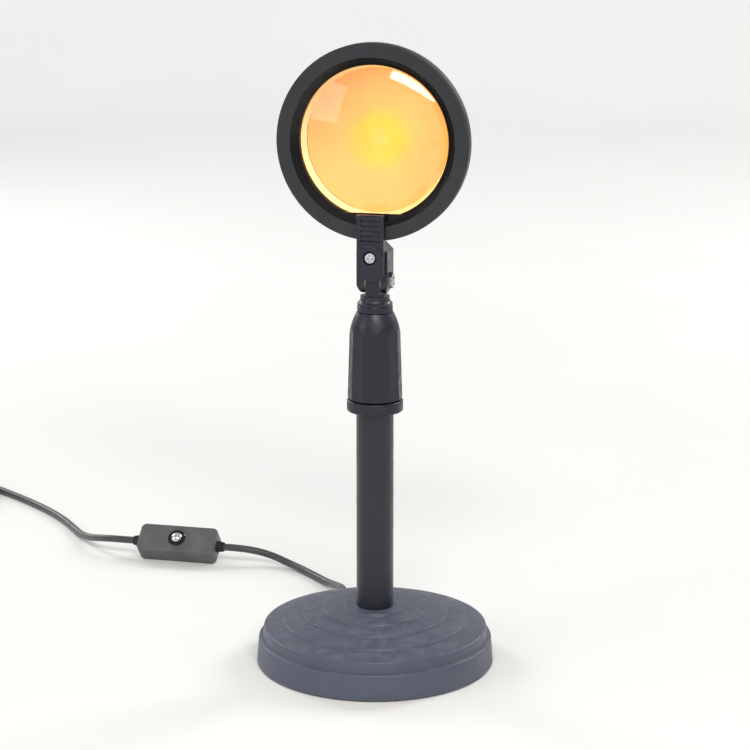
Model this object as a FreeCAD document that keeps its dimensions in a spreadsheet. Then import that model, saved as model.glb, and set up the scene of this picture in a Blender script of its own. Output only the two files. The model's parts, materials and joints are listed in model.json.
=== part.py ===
import FreeCAD, Part
import math
import os
import re

import Sketcher
from FreeCAD import Placement, Rotation, Vector

# A sunset projection lamp on a telescopic post. Millimetres, +Z up, the lamp looks along -Y.
# The origin is the middle of the foot pad's underside.

SIZES = (
    # base
    ("foot_inset", 4.5, "rubber foot pad inside the rim's lower edge"),
    ("foot_thickness", 2.0, "rubber foot pad"),
    ("plate_thickness", 2.0, "bottom plate"),
    ("base_radius", 58.0, "base shell at the lower edge of its rim"),
    ("rim_bottom", 1.0, "lower edge of the rim above the table"),
    ("rim_lean", 1.0, "how far the rim leans in on its way up"),
    ("rim_top", 12.8, "height of the rim's upper edge"),
    ("ledge_height", 13.4, "height of the ledge round the raised disc"),
    ("disc_inset", 2.5, "raised disc inside the rim's upper edge"),
    ("dome_top", 28.9, "height of the dome that the terraces follow"),
    ("dome_radius", 141.0, "curve of the dome that the terraces follow"),
    ("terrace_first", 15.0, "radius of the innermost terrace edge"),
    ("terrace_count", 4, "terraces"),
    ("terrace_step", 1.0, "height of one terrace step"),
    ("terrace_slant", 0.5, "how far a step leans outwards"),
    ("shell_wall", 2.5, "wall of the base shell"),
    ("rim_round", 0.9, "rounding of the rim and the raised disc"),
    ("terrace_round", 0.35, "rounding of the terrace edges"),
    ("column_wall", 4.0, "wall of the socket column round the post"),
    ("socket_floor_thickness", 3.0, "floor of the post's socket"),
    ("boss_inset", 4.1, "circle of the plate's screws inside the shell's wall"),
    ("boss_radius", 2.75, "screw boss under the shell"),
    ("boss_count", 3, "plate screws"),
    ("weight_inset", 8.0, "iron weight inside the shell's wall"),
    ("weight_thickness", 9.0, "iron weight"),
    ("counterbore_radius", 8.5, "hollow for the post bolt's head"),
    ("counterbore_depth", 4.0, "hollow for the post bolt's head"),
    ("notch_width", 3.2, "channel for the lead in the weight"),
    ("notch_depth", 4.9, "channel for the lead in the weight"),
    ("exit_angle", 25.0, "where the cord leaves the base, from straight behind, in degrees"),
    # fasteners of the base
    ("post_bolt_radius", 2.5, "bolt up into the post"),
    ("post_bolt_head", 4.6, "corner radius of its hexagon head"),
    ("post_bolt_head_height", 2.8, "its hexagon head"),
    ("post_bolt_length", 24.0, "its shank"),
    ("post_washer_radius", 7.0, "washer under its head"),
    ("post_washer_thickness", 1.0, "washer under its head"),
    ("plate_screw_radius", 1.2, "plate screw shank"),
    ("plate_screw_head", 2.4, "plate screw head"),
    ("plate_screw_head_height", 1.1, "plate screw head"),
    ("plate_screw_length", 7.0, "plate screw shank"),
    # post
    ("tube_radius", 9.0, "outer tube"),
    ("tube_wall", 1.2, "outer tube"),
    ("tube_top", 152.0, "height of the outer tube's end"),
    ("plug_length", 18.0, "plug in the foot of the outer tube"),
    ("mast_radius", 7.0, "inner tube"),
    ("mast_wall", 1.0, "inner tube"),
    ("mast_bottom", 40.0, "height of the inner tube's lower end, pushed in"),
    ("mast_rise", 24.0, "inner tube above the outer tube, pushed in"),
    ("bush_length", 12.0, "glide bush round the inner tube's lower end"),
    ("flange_drop", 25.6, "underside of the fixed collar below the outer tube's end"),
    ("flange_height", 5.6, "fixed collar"),
    ("flange_radius", 13.5, "fixed collar"),
    ("flange_round", 0.9, "rounding of the fixed collar"),
    ("spigot_radius", 10.6, "spigot of the fixed collar"),
    ("spigot_length", 17.0, "spigot of the fixed collar"),
    ("sleeve_gap", 0.8, "groove between the fixed collar and the lock sleeve"),
    ("sleeve_clear", 1.4, "top of the lock sleeve below the inner tube's end"),
    ("sleeve_foot_radius", 13.1, "corner radius of the grip at its lower end"),
    ("sleeve_head_radius", 11.8, "corner radius that the grip would reach at its top"),
    ("sleeve_neck_radius", 8.75, "lock sleeve at its top"),
    ("sleeve_facets", 12, "flats round the grip"),
    ("shoulder_length", 16.6, "rounded shoulder above the grip"),
    ("shoulder_bulge", 1.2, "how far the shoulder stands out of a straight cone"),
    ("sleeve_lip", 8.6, "guiding lip at the top of the lock sleeve"),
    ("collet_length", 12.5, "split ring that grips the inner tube"),
    ("collet_radius", 8.9, "split ring that grips the inner tube"),
    ("collet_slot", 1.2, "slots of the split ring"),
    ("collet_root", 3.0, "unsplit foot of the split ring"),
    # mast cap and swivel neck
    ("cap_plug_length", 12.0, "plug of the mast cap inside the tube"),
    ("cap_thickness", 2.0, "mast cap above the tube"),
    ("cap_radius", 8.5, "mast cap"),
    ("cap_skirt", 1.0, "how far the cap reaches down round the tube"),
    ("cap_round", 0.7, "rounding of the mast cap"),
    ("neck_foot_radius", 8.4, "flared foot of the neck"),
    ("neck_foot_height", 0.9, "upright edge of the flared foot"),
    ("neck_radius", 7.0, "neck"),
    ("neck_height", 4.3, "flared foot and neck together"),
    ("flare_height", 3.5, "flared foot of the neck"),
    ("stud_radius", 2.5, "hollow stud that the neck turns on"),
    ("stud_bore", 1.2, "way for the lead through the stud"),
    ("stud_length", 21.0, "hollow stud"),
    ("tongue_width", 6.8, "tongue of the neck, between the cheeks"),
    ("tongue_radius", 5.5, "rounded top of the tongue"),
    ("pan_nut_corner", 4.5, "nut on the stud"),
    ("pan_nut_height", 4.0, "nut on the stud"),
    ("pan_washer_radius", 5.4, "washer on the stud"),
    ("pan_washer_thickness", 1.0, "washer on the stud"),
    # knuckle
    ("tongue_rise", 7.6, "tilt axis above the neck"),
    ("block_width", 15.0, "knuckle block"),
    ("block_depth", 12.6, "knuckle block"),
    ("block_round", 6.3, "rounded foot of the block, about the tilt axis"),
    ("block_foot_width", 12.0, "block at the end of its chamfered foot"),
    ("block_chamfer_drop", 2.3, "start of the foot's chamfers below the tilt axis"),
    ("slot_width", 7.9, "slot between the cheeks"),
    ("friction_washer_thickness", 0.5, "washers beside the tongue"),
    ("friction_washer_radius", 5.4, "washers beside the tongue"),
    ("swing_rise", 12.0, "swing axis above the tilt axis"),
    ("block_top_round", 6.8, "rounded top of the block, about the swing axis"),
    ("block_shoulder_rise", 2.1, "start of the block's shoulders above the swing axis"),
    ("knuckle_bolt_radius", 2.0, "tilt bolt and swing screw"),
    ("bolt_head_radius", 3.3, "their heads"),
    ("bolt_head_height", 2.1, "their heads"),
    ("cheek_recess", 1.2, "recess in the cheeks for the tilt bolt's head and nut"),
    ("knuckle_nut_corner", 3.9, "nuts of the tilt bolt and the swing screw"),
    ("knuckle_nut_height", 2.6, "nuts of the tilt bolt and the swing screw"),
    ("swing_washer_thickness", 0.5, "washer between the block and the arm"),
    ("swing_washer_radius", 5.6, "washer between the block and the arm"),
    # lamp arm
    ("arm_thickness", 3.2, "lamp arm"),
    ("arm_width", 13.0, "lamp arm"),
    ("arm_foot_width", 10.4, "lamp arm at its lower end"),
    ("arm_drop", 10.7, "lower end of the arm below the swing axis"),
    ("arm_taper", 2.2, "height over which the arm's foot narrows"),
    ("arm_rise", 20.0, "upper end of the arm above the swing axis"),
    ("arm_boss_radius", 6.0, "boss round the swing screw"),
    ("arm_boss_height", 0.8, "boss round the swing screw"),
    ("arm_counterbore", 2.0, "hollow for the swing screw's head"),
    ("inset_width", 9.8, "ribbed inset of the arm"),
    ("inset_depth", 1.2, "ribbed inset of the arm"),
    ("inset_rise", 7.4, "start of the ribbed inset above the swing axis"),
    ("rib_count", 5, "ribs in the inset"),
    ("rib_pitch", 2.4, "from rib to rib"),
    ("rib_height", 1.1, "one rib"),
    ("rib_depth", 0.8, "one rib"),
    ("arm_screw_rise", 11.7, "the two arm screws above the swing axis"),
    ("arm_screw_spacing", 7.0, "between the two arm screws"),
    # head, along its own axis, which points forward
    ("bezel_radius", 46.0, "bezel ring"),
    ("bezel_thickness", 6.5, "bezel ring"),
    ("bezel_front", 6.8, "front of the bezel ring ahead of the post's axis"),
    ("bezel_round", 0.8, "rounding of the bezel ring's rims"),
    ("bezel_band", 6.6, "flat front of the bezel ring"),
    ("bevel_width", 3.8, "black bevel, seen from the front"),
    ("bevel_depth", 3.6, "black bevel"),
    ("lip_thickness", 1.0, "lip in front of the lens's edge"),
    ("flat_inset", 2.4, "flat foot of the opening inside its edge"),
    ("web_front", 4.8, "front of the web that makes the flat foot"),
    ("web_thickness", 1.2, "web that makes the flat foot"),
    ("lens_overlap", 1.3, "lens beyond the edge of the opening"),
    ("lens_curve", 75.0, "curve of the lens's front"),
    ("lens_edge", 2.5, "thickness of the lens at its edge"),
    ("gasket_thickness", 0.8, "gasket behind the lens"),
    ("gasket_width", 1.7, "gasket behind the lens"),
    ("flange_ring_inset", 2.0, "flange of the rear housing inside the bezel ring's edge"),
    ("flange_ring_thickness", 2.5, "flange of the rear housing"),
    ("seat_wall", 2.3, "wall of the housing round the lens"),
    ("barrel_inset", 2.9, "barrel of the rear housing inside the lens's edge"),
    ("housing_wall", 2.0, "wall of the rear housing"),
    ("housing_back", 38.0, "back of the housing behind the post's axis"),
    ("housing_taper_start", 30.0, "where the housing narrows, behind the post's axis"),
    ("housing_taper", 7.0, "how far the housing narrows"),
    ("vent_count", 12, "slots in the housing's back"),
    ("vent_width", 2.0, "slots in the housing's back"),
    ("vent_inner", 9.0, "slots in the housing's back"),
    ("vent_inset", 6.0, "slots inside the edge of the housing's back"),
    ("housing_screw_inset", 4.2, "circle of the housing's screws inside the bezel ring's edge"),
    ("housing_screw_count", 4, "housing screws"),
    ("head_screw_radius", 1.0, "housing screws and arm screws"),
    ("head_screw_head", 1.8, "their heads"),
    ("head_screw_head_height", 1.2, "their heads"),
    ("housing_screw_length", 6.0, "housing screws"),
    ("arm_screw_length", 10.6, "arm screws"),
    ("filter_depth", 10.8, "front of the filter behind the post's axis"),
    ("filter_thickness", 1.2, "colour filter disc"),
    ("reflector_wall", 1.0, "reflector"),
    ("reflector_rim", 1.5, "rim of the reflector at the filter"),
    ("reflector_throat", 6.5, "reflector round the emitter"),
    ("sink_thickness", 3.0, "heat sink's disc"),
    ("fin_inset", 7.5, "heat sink's fins inside the barrel"),
    ("fin_pitch", 5.0, "heat sink's fins"),
    ("fin_gap", 3.6, "space between two fins"),
    ("fin_gap_count", 9, "spaces between the fins"),
    ("board_radius", 14.0, "round board of the emitter"),
    ("board_thickness", 1.6, "round board of the emitter"),
    ("emitter_radius", 5.0, "light emitter"),
    ("emitter_height", 0.6, "light emitter's frame"),
    ("emitter_lens", 3.4, "light emitter's dome"),
    ("emitter_rise", 2.0, "light emitter's dome"),
    ("board_screw_spacing", 23.6, "between the board's two screws"),
    # leads and cord
    ("lead_radius", 1.1, "thin lead inside the lamp"),
    ("lead_offset", 4.7, "lead from the post's axis"),
    ("lead_bend", 4.0, "bend of the lead at the foot of the post"),
    ("lead_height", 9.6, "lead in the weight's channel"),
    ("lead_drop", 3.0, "straight run of the lead below the head's housing"),
    ("lead_gap", 0.4, "end of the lead behind the knuckle block"),
    ("cord_radius", 2.0, "cord"),
    ("cord_floor", 2.1, "height of the cord's middle where it lies on the table"),
    ("cord_start", 9.0, "straight run of the cord at the base, the coil and the plug"),
    ("switch_run", 8.0, "straight run of the cord at each end of the switch"),
    ("relief_flange", 3.3, "strain relief inside the shell"),
    ("relief_neck", 2.7, "strain relief in the shell's hole"),
    ("relief_collar", 3.6, "strain relief outside the shell"),
    ("relief_tip", 2.4, "strain relief at its end"),
    ("relief_tail", 18.0, "end of the strain relief beyond the rim"),
    ("relief_shoulder", 2.4, "its flange and the slope of its collar"),
    # switch in the cord
    ("switch_x", -143.0, "middle of the switch"),
    ("switch_y", 124.0, "middle of the switch"),
    ("switch_roll", 40.0, "how far the switch is rolled forward, in degrees"),
    ("switch_length", 45.0, "switch casing"),
    ("switch_width", 17.0, "switch casing"),
    ("switch_height", 11.5, "switch casing"),
    ("switch_lower_height", 4.75, "lower shell of the casing"),
    ("switch_wall", 1.5, "wall of the casing"),
    ("switch_corner", 3.0, "corners of the casing"),
    ("switch_edge", 1.0, "rounded long edges of the casing"),
    ("switch_bush_length", 4.0, "bushes at the ends of the casing"),
    ("switch_bush_radius", 3.2, "bushes at the ends of the casing"),
    ("switch_bush_tip", 2.6, "bushes at their outer end"),
    ("switch_screw_spacing", 34.0, "between the casing's two screws"),
    ("switch_post_radius", 2.6, "posts for the casing's screws"),
    ("button_ring_radius", 4.9, "black ring round the button"),
    ("button_ring_height", 1.1, "black ring round the button"),
    ("button_skirt_radius", 4.2, "ring's skirt through the casing"),
    ("button_radius", 2.92, "button's shaft"),
    ("button_rise", 1.25, "upright edge of the button above the casing"),
    ("button_dome", 1.4, "dome of the button"),
    ("button_flange_radius", 3.7, "button's flange inside the casing"),
    ("button_flange_height", 1.0, "button's flange inside the casing"),
    ("button_travel", 1.0, "how far the button is pressed"),
    ("spring_radius", 2.3, "spring under the button"),
    ("spring_wall", 0.6, "spring under the button"),
    # coil, tie and plug
    ("coil_x", -325.1, "middle of the coil"),
    ("coil_y", 202.7, "middle of the coil"),
    ("coil_core", 14.9, "innermost turn of the coil"),
    ("coil_pitch", 4.6, "from turn to turn, sideways and upwards"),
    ("coil_turns_in", 3.6, "turns of the lower layer"),
    ("coil_turns_out", 3.666, "turns of the upper layer"),
    ("coil_entry", 165.0, "direction in which the cord enters the coil, in degrees"),
    ("tie_thickness", 0.9, "tie round the coil"),
    ("tie_width", 7.0, "tie round the coil"),
    ("plug_grip_length", 32.0, "grip of the plug"),
    ("plug_grip_width", 15.6, "grip of the plug"),
    ("plug_grip_height", 8.2, "grip of the plug"),
    ("plug_shell_length", 18.8, "metal shell of the plug"),
    ("plug_shell_width", 12.0, "metal shell of the plug"),
    ("plug_shell_height", 4.5, "metal shell of the plug"),
    ("plug_shell_wall", 0.4, "metal shell of the plug"),
    # clearances
    ("seat_gap", 0.05, "between two pieces that are fitted together"),
    ("running_gap", 0.06, "between a shaft and what turns on it"),
    ("free_gap", 0.3, "between curved faces of different pieces"),
    ("face_gap", 0.1, "between flat faces that turn on each other"),
)

# Sizes that follow from the driving ones.
WORKED_OUT = {
    "foot_radius": "base_radius - foot_inset",
    "rim_top_radius": "base_radius - rim_lean",
    "disc_radius": "rim_top_radius - disc_inset",
    "terrace_pitch": "(disc_radius - terrace_first + terrace_slant) / terrace_count",
    "plate_top": "foot_thickness + plate_thickness",
    "weight_top": "plate_top + weight_thickness",
    "base_inner": "rim_top_radius - shell_wall",
    "boss_circle": "base_inner - boss_inset",
    "weight_radius": "base_inner - weight_inset",
    "relief_start": "base_inner - free_gap - relief_shoulder",
    "relief_reach": "base_radius + relief_tail",
    "disc_top": "dome_top - disc_radius^2 / (2 * dome_radius)",
    "shell_top": "dome_top - terrace_first^2 / (2 * dome_radius)",
    "socket_floor": "weight_top + socket_floor_thickness",
    "socket_radius": "tube_radius + seat_gap",
    "column_radius": "tube_radius + column_wall",
    "bolt_clear": "post_bolt_radius + 0.2",
    "counterbore_top": "plate_top + counterbore_depth",
    "bolt_seat": "counterbore_top - post_washer_thickness",
    "exit_height": "plate_top + relief_flange + face_gap",
    "tube_bore": "tube_radius - tube_wall",
    "mast_bore": "mast_radius - mast_wall",
    "mast_top": "tube_top + mast_rise",
    "flange_bottom": "tube_top - flange_drop",
    "flange_top": "flange_bottom + flange_height",
    "spigot_top": "flange_top + spigot_length",
    "sleeve_bottom": "flange_top + sleeve_gap",
    "sleeve_top": "mast_top - sleeve_clear",
    "sleeve_length": "sleeve_top - sleeve_bottom",
    "shoulder_bottom": "sleeve_top - shoulder_length",
    "shoulder_radius": "sleeve_foot_radius - (sleeve_foot_radius - sleeve_head_radius)"
                       " * (sleeve_length - shoulder_length) / sleeve_length + face_gap",
    "collet_top": "tube_top + collet_length",
    "cap_bottom": "mast_top - cap_plug_length",
    "cap_top": "mast_top + cap_thickness",
    "cap_bore": "stud_radius + running_gap",
    "neck_bottom": "cap_top + face_gap",
    "neck_top": "neck_bottom + neck_height",
    "stud_bottom": "neck_bottom - stud_length",
    "pan_washer_top": "cap_bottom - face_gap",
    "pan_nut_top": "pan_washer_top - pan_washer_thickness",
    "tilt_height": "neck_top + tongue_rise",
    "swing_height": "tilt_height + swing_rise",
    "block_chamfer_top": "tilt_height - block_chamfer_drop",
    "block_shoulder": "swing_height + block_shoulder_rise",
    "block_half": "block_width / 2",
    "block_front": "block_depth / 2",
    "tongue_half": "tongue_width / 2",
    "bolt_bore": "knuckle_bolt_radius + running_gap",
    "arm_back": "block_front + swing_washer_thickness",
    "arm_front": "arm_back + arm_thickness",
    "boss_front": "arm_front + arm_boss_height",
    "arm_bottom": "swing_height - arm_drop",
    "arm_top": "swing_height + arm_rise",
    "inset_bottom": "swing_height + inset_rise",
    "arm_screw_height": "swing_height + arm_screw_rise",
    "housing_screw_circle": "bezel_radius - housing_screw_inset",
    "head_height": "arm_screw_height + housing_screw_circle",
    "bevel_radius": "bezel_radius - bezel_band",
    "opening_radius": "bevel_radius - bevel_width",
    "lens_flat": "opening_radius - flat_inset",
    "lens_radius": "opening_radius + lens_overlap",
    "gasket_inner": "lens_radius - gasket_width",
    "flange_ring_radius": "bezel_radius - flange_ring_inset",
    "barrel_radius": "lens_radius - barrel_inset",
    "housing_back_radius": "barrel_radius - housing_taper",
    "vent_outer": "housing_back_radius - vent_inset",
    "bezel_back": "bezel_front - bezel_thickness",
    "lip_front": "bezel_front - bevel_depth",
    "lip_back": "lip_front - lip_thickness",
    "lens_bore": "lens_radius + free_gap",
    "lens_sag": "lens_curve - sqrt(lens_curve^2 - lens_radius^2)",
    "lip_sag": "lens_curve - sqrt(lens_curve^2 - opening_radius^2)",
    "half_sag": "lens_curve - sqrt(lens_curve^2 - lens_radius^2 / 4)",
    "lens_rim": "lip_back - free_gap - lens_sag + lip_sag",
    "lens_top": "lens_rim + lens_sag",
    "lens_back": "lens_rim - lens_edge",
    "gasket_back": "lens_back - gasket_thickness",
    "flange_ring_back": "bezel_back - flange_ring_thickness",
    "seat_radius": "lens_bore + seat_wall",
    "barrel_bore": "barrel_radius - housing_wall",
    "inner_radius": "barrel_bore - free_gap",
    "reflector_mouth": "inner_radius - reflector_rim",
    "sink_fin_radius": "barrel_bore - fin_inset",
    "filter_front": "-filter_depth",
    "filter_back": "filter_front - filter_thickness",
    "sink_back": "-housing_taper_start + 0.9",
    "sink_front": "sink_back + sink_thickness",
    "board_front": "sink_front + board_thickness",
    "fin_back": "-housing_back + housing_wall + free_gap",
    "lead_plane": "sink_front + lead_radius",
    "lead_entry": "swing_height + knuckle_nut_corner + face_gap + lead_radius + free_gap",
    "switch_half": "switch_height / 2",
    "switch_split": "-switch_half + switch_lower_height",
    "switch_z": "(switch_width / 2 - switch_edge) * sin(switch_roll)"
                " + (switch_half - switch_edge) * cos(switch_roll) + switch_edge + seat_gap",
    "switch_end": "switch_length / 2",
    "button_seat": "switch_half - 2.15",
    "button_flange_top": "button_seat - 1.2",
    "button_flange_bottom": "button_flange_top - button_flange_height",
    "core_top": "button_flange_bottom - 3.4",
    "core_bottom": "-switch_half + switch_wall",
}

DOC = FreeCAD.newDocument("SunsetLamp")
NODES = []


def make_sheet():
    """The spreadsheet of driving sizes, one alias to a row."""
    sheet = DOC.addObject("Spreadsheet::Sheet", "Sizes")
    for row, (name, number, meaning) in enumerate(SIZES, start=1):
        sheet.set(f"A{row}", name)
        sheet.set(f"B{row}", str(number))
        sheet.set(f"C{row}", meaning)
        sheet.setAlias(f"B{row}", name)
    DOC.recompute()
    return sheet


SHEET = make_sheet()
ALIASES = {name for name, _, _ in SIZES}


def formula(text):
    """An expression in plain size names, with each name led back to its cell."""

    def cell(match):
        word = match.group(0)
        if word in WORKED_OUT:
            return f"({formula(WORKED_OUT[word])})"
        return f"Sizes.{word}" if word in ALIASES else word

    return re.sub(r"[a-z_]+", cell, str(text))


def value(text):
    """The number that an expression in size names comes to."""
    number = SHEET.evalExpression(formula(text))
    return float(getattr(number, "Value", number))


def dome(radius):
    """Height of the dome that the base's terraces follow, at a radius."""
    return f"(dome_top - ({radius})^2 / (2 * dome_radius))"


def ring_corners(count, radius, turn="0"):
    """Corners of a regular polygon."""
    angles = [f"({turn}) + {360.0 * k / count}" for k in range(count)]
    return [(f"({radius}) * cos({a})", f"({radius}) * sin({a})") for a in angles]


def cap(radius, height, rise):
    """The corner that starts a spherical cap, whose top lies a rise above it on the axis."""
    sphere = f"(({radius})^2 + ({rise})^2) / (2 * {rise})"
    middle = f"{height} - {sphere} + {rise} + sqrt(({sphere})^2 - ({radius})^2 / 4)"
    return (radius, height, f"{radius} / 2", middle)


def box_corners(x_low, x_high, y_low, y_high):
    """Corners of a rectangle."""
    return [(x_low, y_low), (x_high, y_low), (x_high, y_high), (x_low, y_high)]


def hold(sketch, index, end, x, y):
    """Ties one point of a sketch to the two expressions that give its place."""
    for kind, axis, text in (("DistanceX", -2, x), ("DistanceY", -1, y)):
        if text == "0":
            sketch.addConstraint(Sketcher.Constraint("PointOnObject", index, end, axis))
            continue
        made = sketch.addConstraint(Sketcher.Constraint(kind, -1, 1, index, end, value(text)))
        sketch.setExpression(f"Constraints[{made}]", formula(text))


def draw_outline(sketch, corners):
    """A closed outline. A corner of four texts starts an arc through its second pair."""
    places = [Vector(value(c[0]), value(c[1]), 0) for c in corners]
    ends = []
    for k, corner in enumerate(corners):
        start, stop = places[k], places[(k + 1) % len(places)]
        if len(corner) == 2:
            index = sketch.addGeometry(Part.LineSegment(start, stop), False)
            ends.append((index, 1, 2))
            continue
        middle = Vector(value(corner[2]), value(corner[3]), 0)
        index = sketch.addGeometry(Part.Arc(start, middle, stop), False)
        forward = sketch.getPoint(index, 1).distanceToPoint(start) < sketch.getPoint(index, 2).distanceToPoint(start)
        ends.append((index, 1, 2) if forward else (index, 2, 1))
        mark = sketch.addGeometry(Part.Point(middle), True)
        hold(sketch, mark, 1, corner[2], corner[3])
        sketch.addConstraint(Sketcher.Constraint("PointOnObject", mark, 1, index))
    for k, (index, start, _) in enumerate(ends):
        before = ends[k - 1]
        sketch.addConstraint(Sketcher.Constraint("Coincident", before[0], before[2], index, start))
        hold(sketch, index, start, corners[k][0], corners[k][1])


def draw_circle(sketch, x, y, radius):
    """A circle whose middle and radius are tied to expressions."""
    middle = Vector(value(x), value(y), 0)
    index = sketch.addGeometry(Part.Circle(middle, Vector(0, 0, 1), value(radius)), False)
    hold(sketch, index, 3, x, y)
    made = sketch.addConstraint(Sketcher.Constraint("Radius", index, value(radius)))
    sketch.setExpression(f"Constraints[{made}]", formula(radius))


class Piece:
    """One body of sketches and features. It is a node of the lamp unless it joins a group."""

    def __init__(self, label, node=True):
        self.body = DOC.addObject("PartDesign::Body", label)
        self.body.Label = label
        self.made = 0
        self.last_sketch = None
        if node:
            NODES.append(self.body)

    def name(self, kind):
        self.made += 1
        return f"{self.body.Label}_{kind}_{self.made}"

    def sketch(self, role, lift, shapes):
        """A sketch on one of the body's own planes, lifted along the plane's normal."""
        sketch = self.body.newObject("Sketcher::SketchObject", self.name("sketch"))
        plane = next(f for f in self.body.Origin.OriginFeatures if f.Role == role)
        sketch.AttachmentSupport = (plane, [""])
        sketch.MapMode = "FlatFace"
        if lift != "0":
            sketch.setExpression("AttachmentOffset.Base.z", formula(lift))
        for shape in shapes:
            if len(shape) == 3 and isinstance(shape[0], str):
                draw_circle(sketch, *shape)
            else:
                draw_outline(sketch, shape)
        self.last_sketch = sketch
        return sketch

    def feature(self, kind, sketch, **settings):
        """Adds a feature, and stops if it leaves the solid as it was."""
        before = self.body.Shape.Volume if self.body.Tip else 0.0
        feature = self.body.newObject(f"PartDesign::{kind}", self.name(kind.lower()))
        feature.Profile = sketch
        for key, setting in settings.items():
            if key == "Length":
                feature.setExpression("Length", formula(setting))
            else:
                setattr(feature, key, setting)
        DOC.recompute()
        change = self.body.Shape.Volume - before
        cuts = kind in ("Pocket", "Groove")
        if (cuts and change > -1e-6) or (not cuts and change < 1e-6):
            raise ValueError(f"{feature.Name} changed nothing")
        return feature

    def turn(self, outline):
        """Turns an outline of radius and height once round the body's Z axis."""
        sketch = self.sketch("XZ_Plane", "0", [outline])
        return self.feature("Revolution", sketch, ReferenceAxis=(sketch, ["V_Axis"]), Angle=360.0)

    def groove(self, outline):
        """Cuts away what an outline of radius and height sweeps round the Z axis."""
        sketch = self.sketch("XZ_Plane", "0", [outline])
        return self.feature("Groove", sketch, ReferenceAxis=(sketch, ["V_Axis"]), Angle=360.0)

    def pad(self, role, shapes, length, lift="0", both=False, flip=False):
        side = "Symmetric" if both else "One side"
        sketch = self.sketch(role, lift, shapes)
        return self.feature("Pad", sketch, Length=length, SideType=side, Reversed=flip)

    def pocket(self, role, shapes, length, lift="0", both=False, flip=False):
        """Cuts against the plane's normal, or along it when flipped."""
        side = "Symmetric" if both else "One side"
        sketch = self.sketch(role, lift, shapes)
        return self.feature("Pocket", sketch, Length=length, SideType=side, Reversed=flip)

    def round_about(self, features, count):
        """Repeats features round the Z axis."""
        pattern = self.body.newObject("PartDesign::PolarPattern", self.name("pattern"))
        pattern.Originals = features
        axis = next(f for f in self.body.Origin.OriginFeatures if f.Role == "Z_Axis")
        pattern.Axis = (axis, [""])
        pattern.Angle = 360.0
        pattern.setExpression("Occurrences", formula(count))
        self.body.Tip = pattern
        DOC.recompute()

    def in_line(self, features, role, length, count):
        """Repeats features along one of the body's axes, over a length."""
        pattern = self.body.newObject("PartDesign::LinearPattern", self.name("pattern"))
        pattern.Originals = features
        axis = next(f for f in self.body.Origin.OriginFeatures if f.Role == role)
        pattern.Direction = (axis, [""])
        pattern.setExpression("Length", formula(length))
        pattern.setExpression("Occurrences", formula(count))
        self.body.Tip = pattern
        DOC.recompute()

    def loft(self, sketches):
        loft = self.body.newObject("PartDesign::AdditiveLoft", self.name("loft"))
        loft.Profile = sketches[0]
        loft.Sections = sketches[1:]
        loft.Ruled = True
        DOC.recompute()

    def soften(self, edges, radius, kind="Fillet"):
        """Rounds or chamfers the edges that a test picks."""
        shape = self.body.Shape
        names = [f"Edge{k}" for k, edge in enumerate(shape.Edges, start=1) if edges(edge)]
        if not names:
            raise ValueError(f"{self.body.Label} has no such edge")
        feature = self.body.newObject(f"PartDesign::{kind}", self.name(kind.lower()))
        feature.Base = (self.previous(feature), names)
        feature.setExpression("Radius" if kind == "Fillet" else "Size", formula(radius))
        self.body.Tip = feature
        DOC.recompute()

    def previous(self, feature):
        """The last solid feature before this one."""
        solids = [f for f in self.body.Group if f.isDerivedFrom("PartDesign::Feature") and f is not feature]
        return solids[-1]

    def place(self, x="0", y="0", z="0", rotation=Rotation()):
        """Puts the body where it belongs, with its place tied to the sheet."""
        self.body.Placement = Placement(Vector(value(x), value(y), value(z)), rotation)
        for axis, text in zip("xyz", (x, y, z)):
            if text != "0":
                self.body.setExpression(f"Placement.Base.{axis}", formula(text))
        return self


def rim(radius, height):
    """A test for the round edge of a turned piece at a radius and a height."""
    wanted_radius, wanted_height = value(radius), value(height)

    def picks(edge):
        curve = edge.Curve
        if not isinstance(curve, Part.Circle):
            return False
        return abs(curve.Radius - wanted_radius) < 1e-4 and abs(curve.Center.z - wanted_height) < 1e-4

    return picks


def upright(edge):
    """A test for straight edges along Z."""
    return isinstance(edge.Curve, Part.Line) and abs(edge.tangentAt(edge.FirstParameter).z) > 0.999


def level_at(height):
    """A test for every edge that lies at a height."""
    wanted = value(height)
    return lambda edge: all(abs(v.Point.z - wanted) < 1e-4 for v in edge.Vertexes)


def turned(label, outline, node=True):
    """A turned piece."""
    piece = Piece(label, node)
    piece.turn(outline)
    return piece


def washer(label, inner, outer, low, high, node=True):
    """A flat ring between two heights."""
    return turned(label, box_corners(inner, outer, low, high), node)


def group(label, pieces):
    """Several like pieces under one name."""
    compound = DOC.addObject("Part::Compound", label)
    compound.Label = label
    compound.Links = [piece.body for piece in pieces]
    NODES.append(compound)
    return compound


def screw(label, shank, length, head, head_height, node=True):
    """A pan-head screw with a cross recess: head above the body's origin, shank below it."""
    piece = turned(label, [
        ("0", f"-({length})"), (f"{shank} * 0.6", f"-({length})"), (shank, f"-({length}) + {shank} * 0.8"),
        (shank, "0"), (head, "0"), (head, f"{head_height} * 0.45"),
        (f"{head} * 0.7", head_height), ("0", head_height),
    ], node)
    reach, half = f"{head} * 0.55", f"{head} * 0.15"
    cross = [
        (reach, f"-{half}"), (reach, half), (half, half), (half, reach), (f"-{half}", reach),
        (f"-{half}", half), (f"-{reach}", half), (f"-{reach}", f"-{half}"), (f"-{half}", f"-{half}"),
        (f"-{half}", f"-{reach}"), (half, f"-{reach}"), (half, f"-{half}"),
    ]
    piece.pocket("XY_Plane", [cross], f"{head_height} * 0.6", lift=head_height)
    return piece


def nut(label, corner, bore, height, node=True):
    """A hexagon nut that stands on the body's origin."""
    piece = Piece(label, node)
    piece.pad("XY_Plane", [ring_corners(6, corner), ("0", "0", bore)], height)
    return piece


# ---------------------------------------------------------------- base


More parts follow.
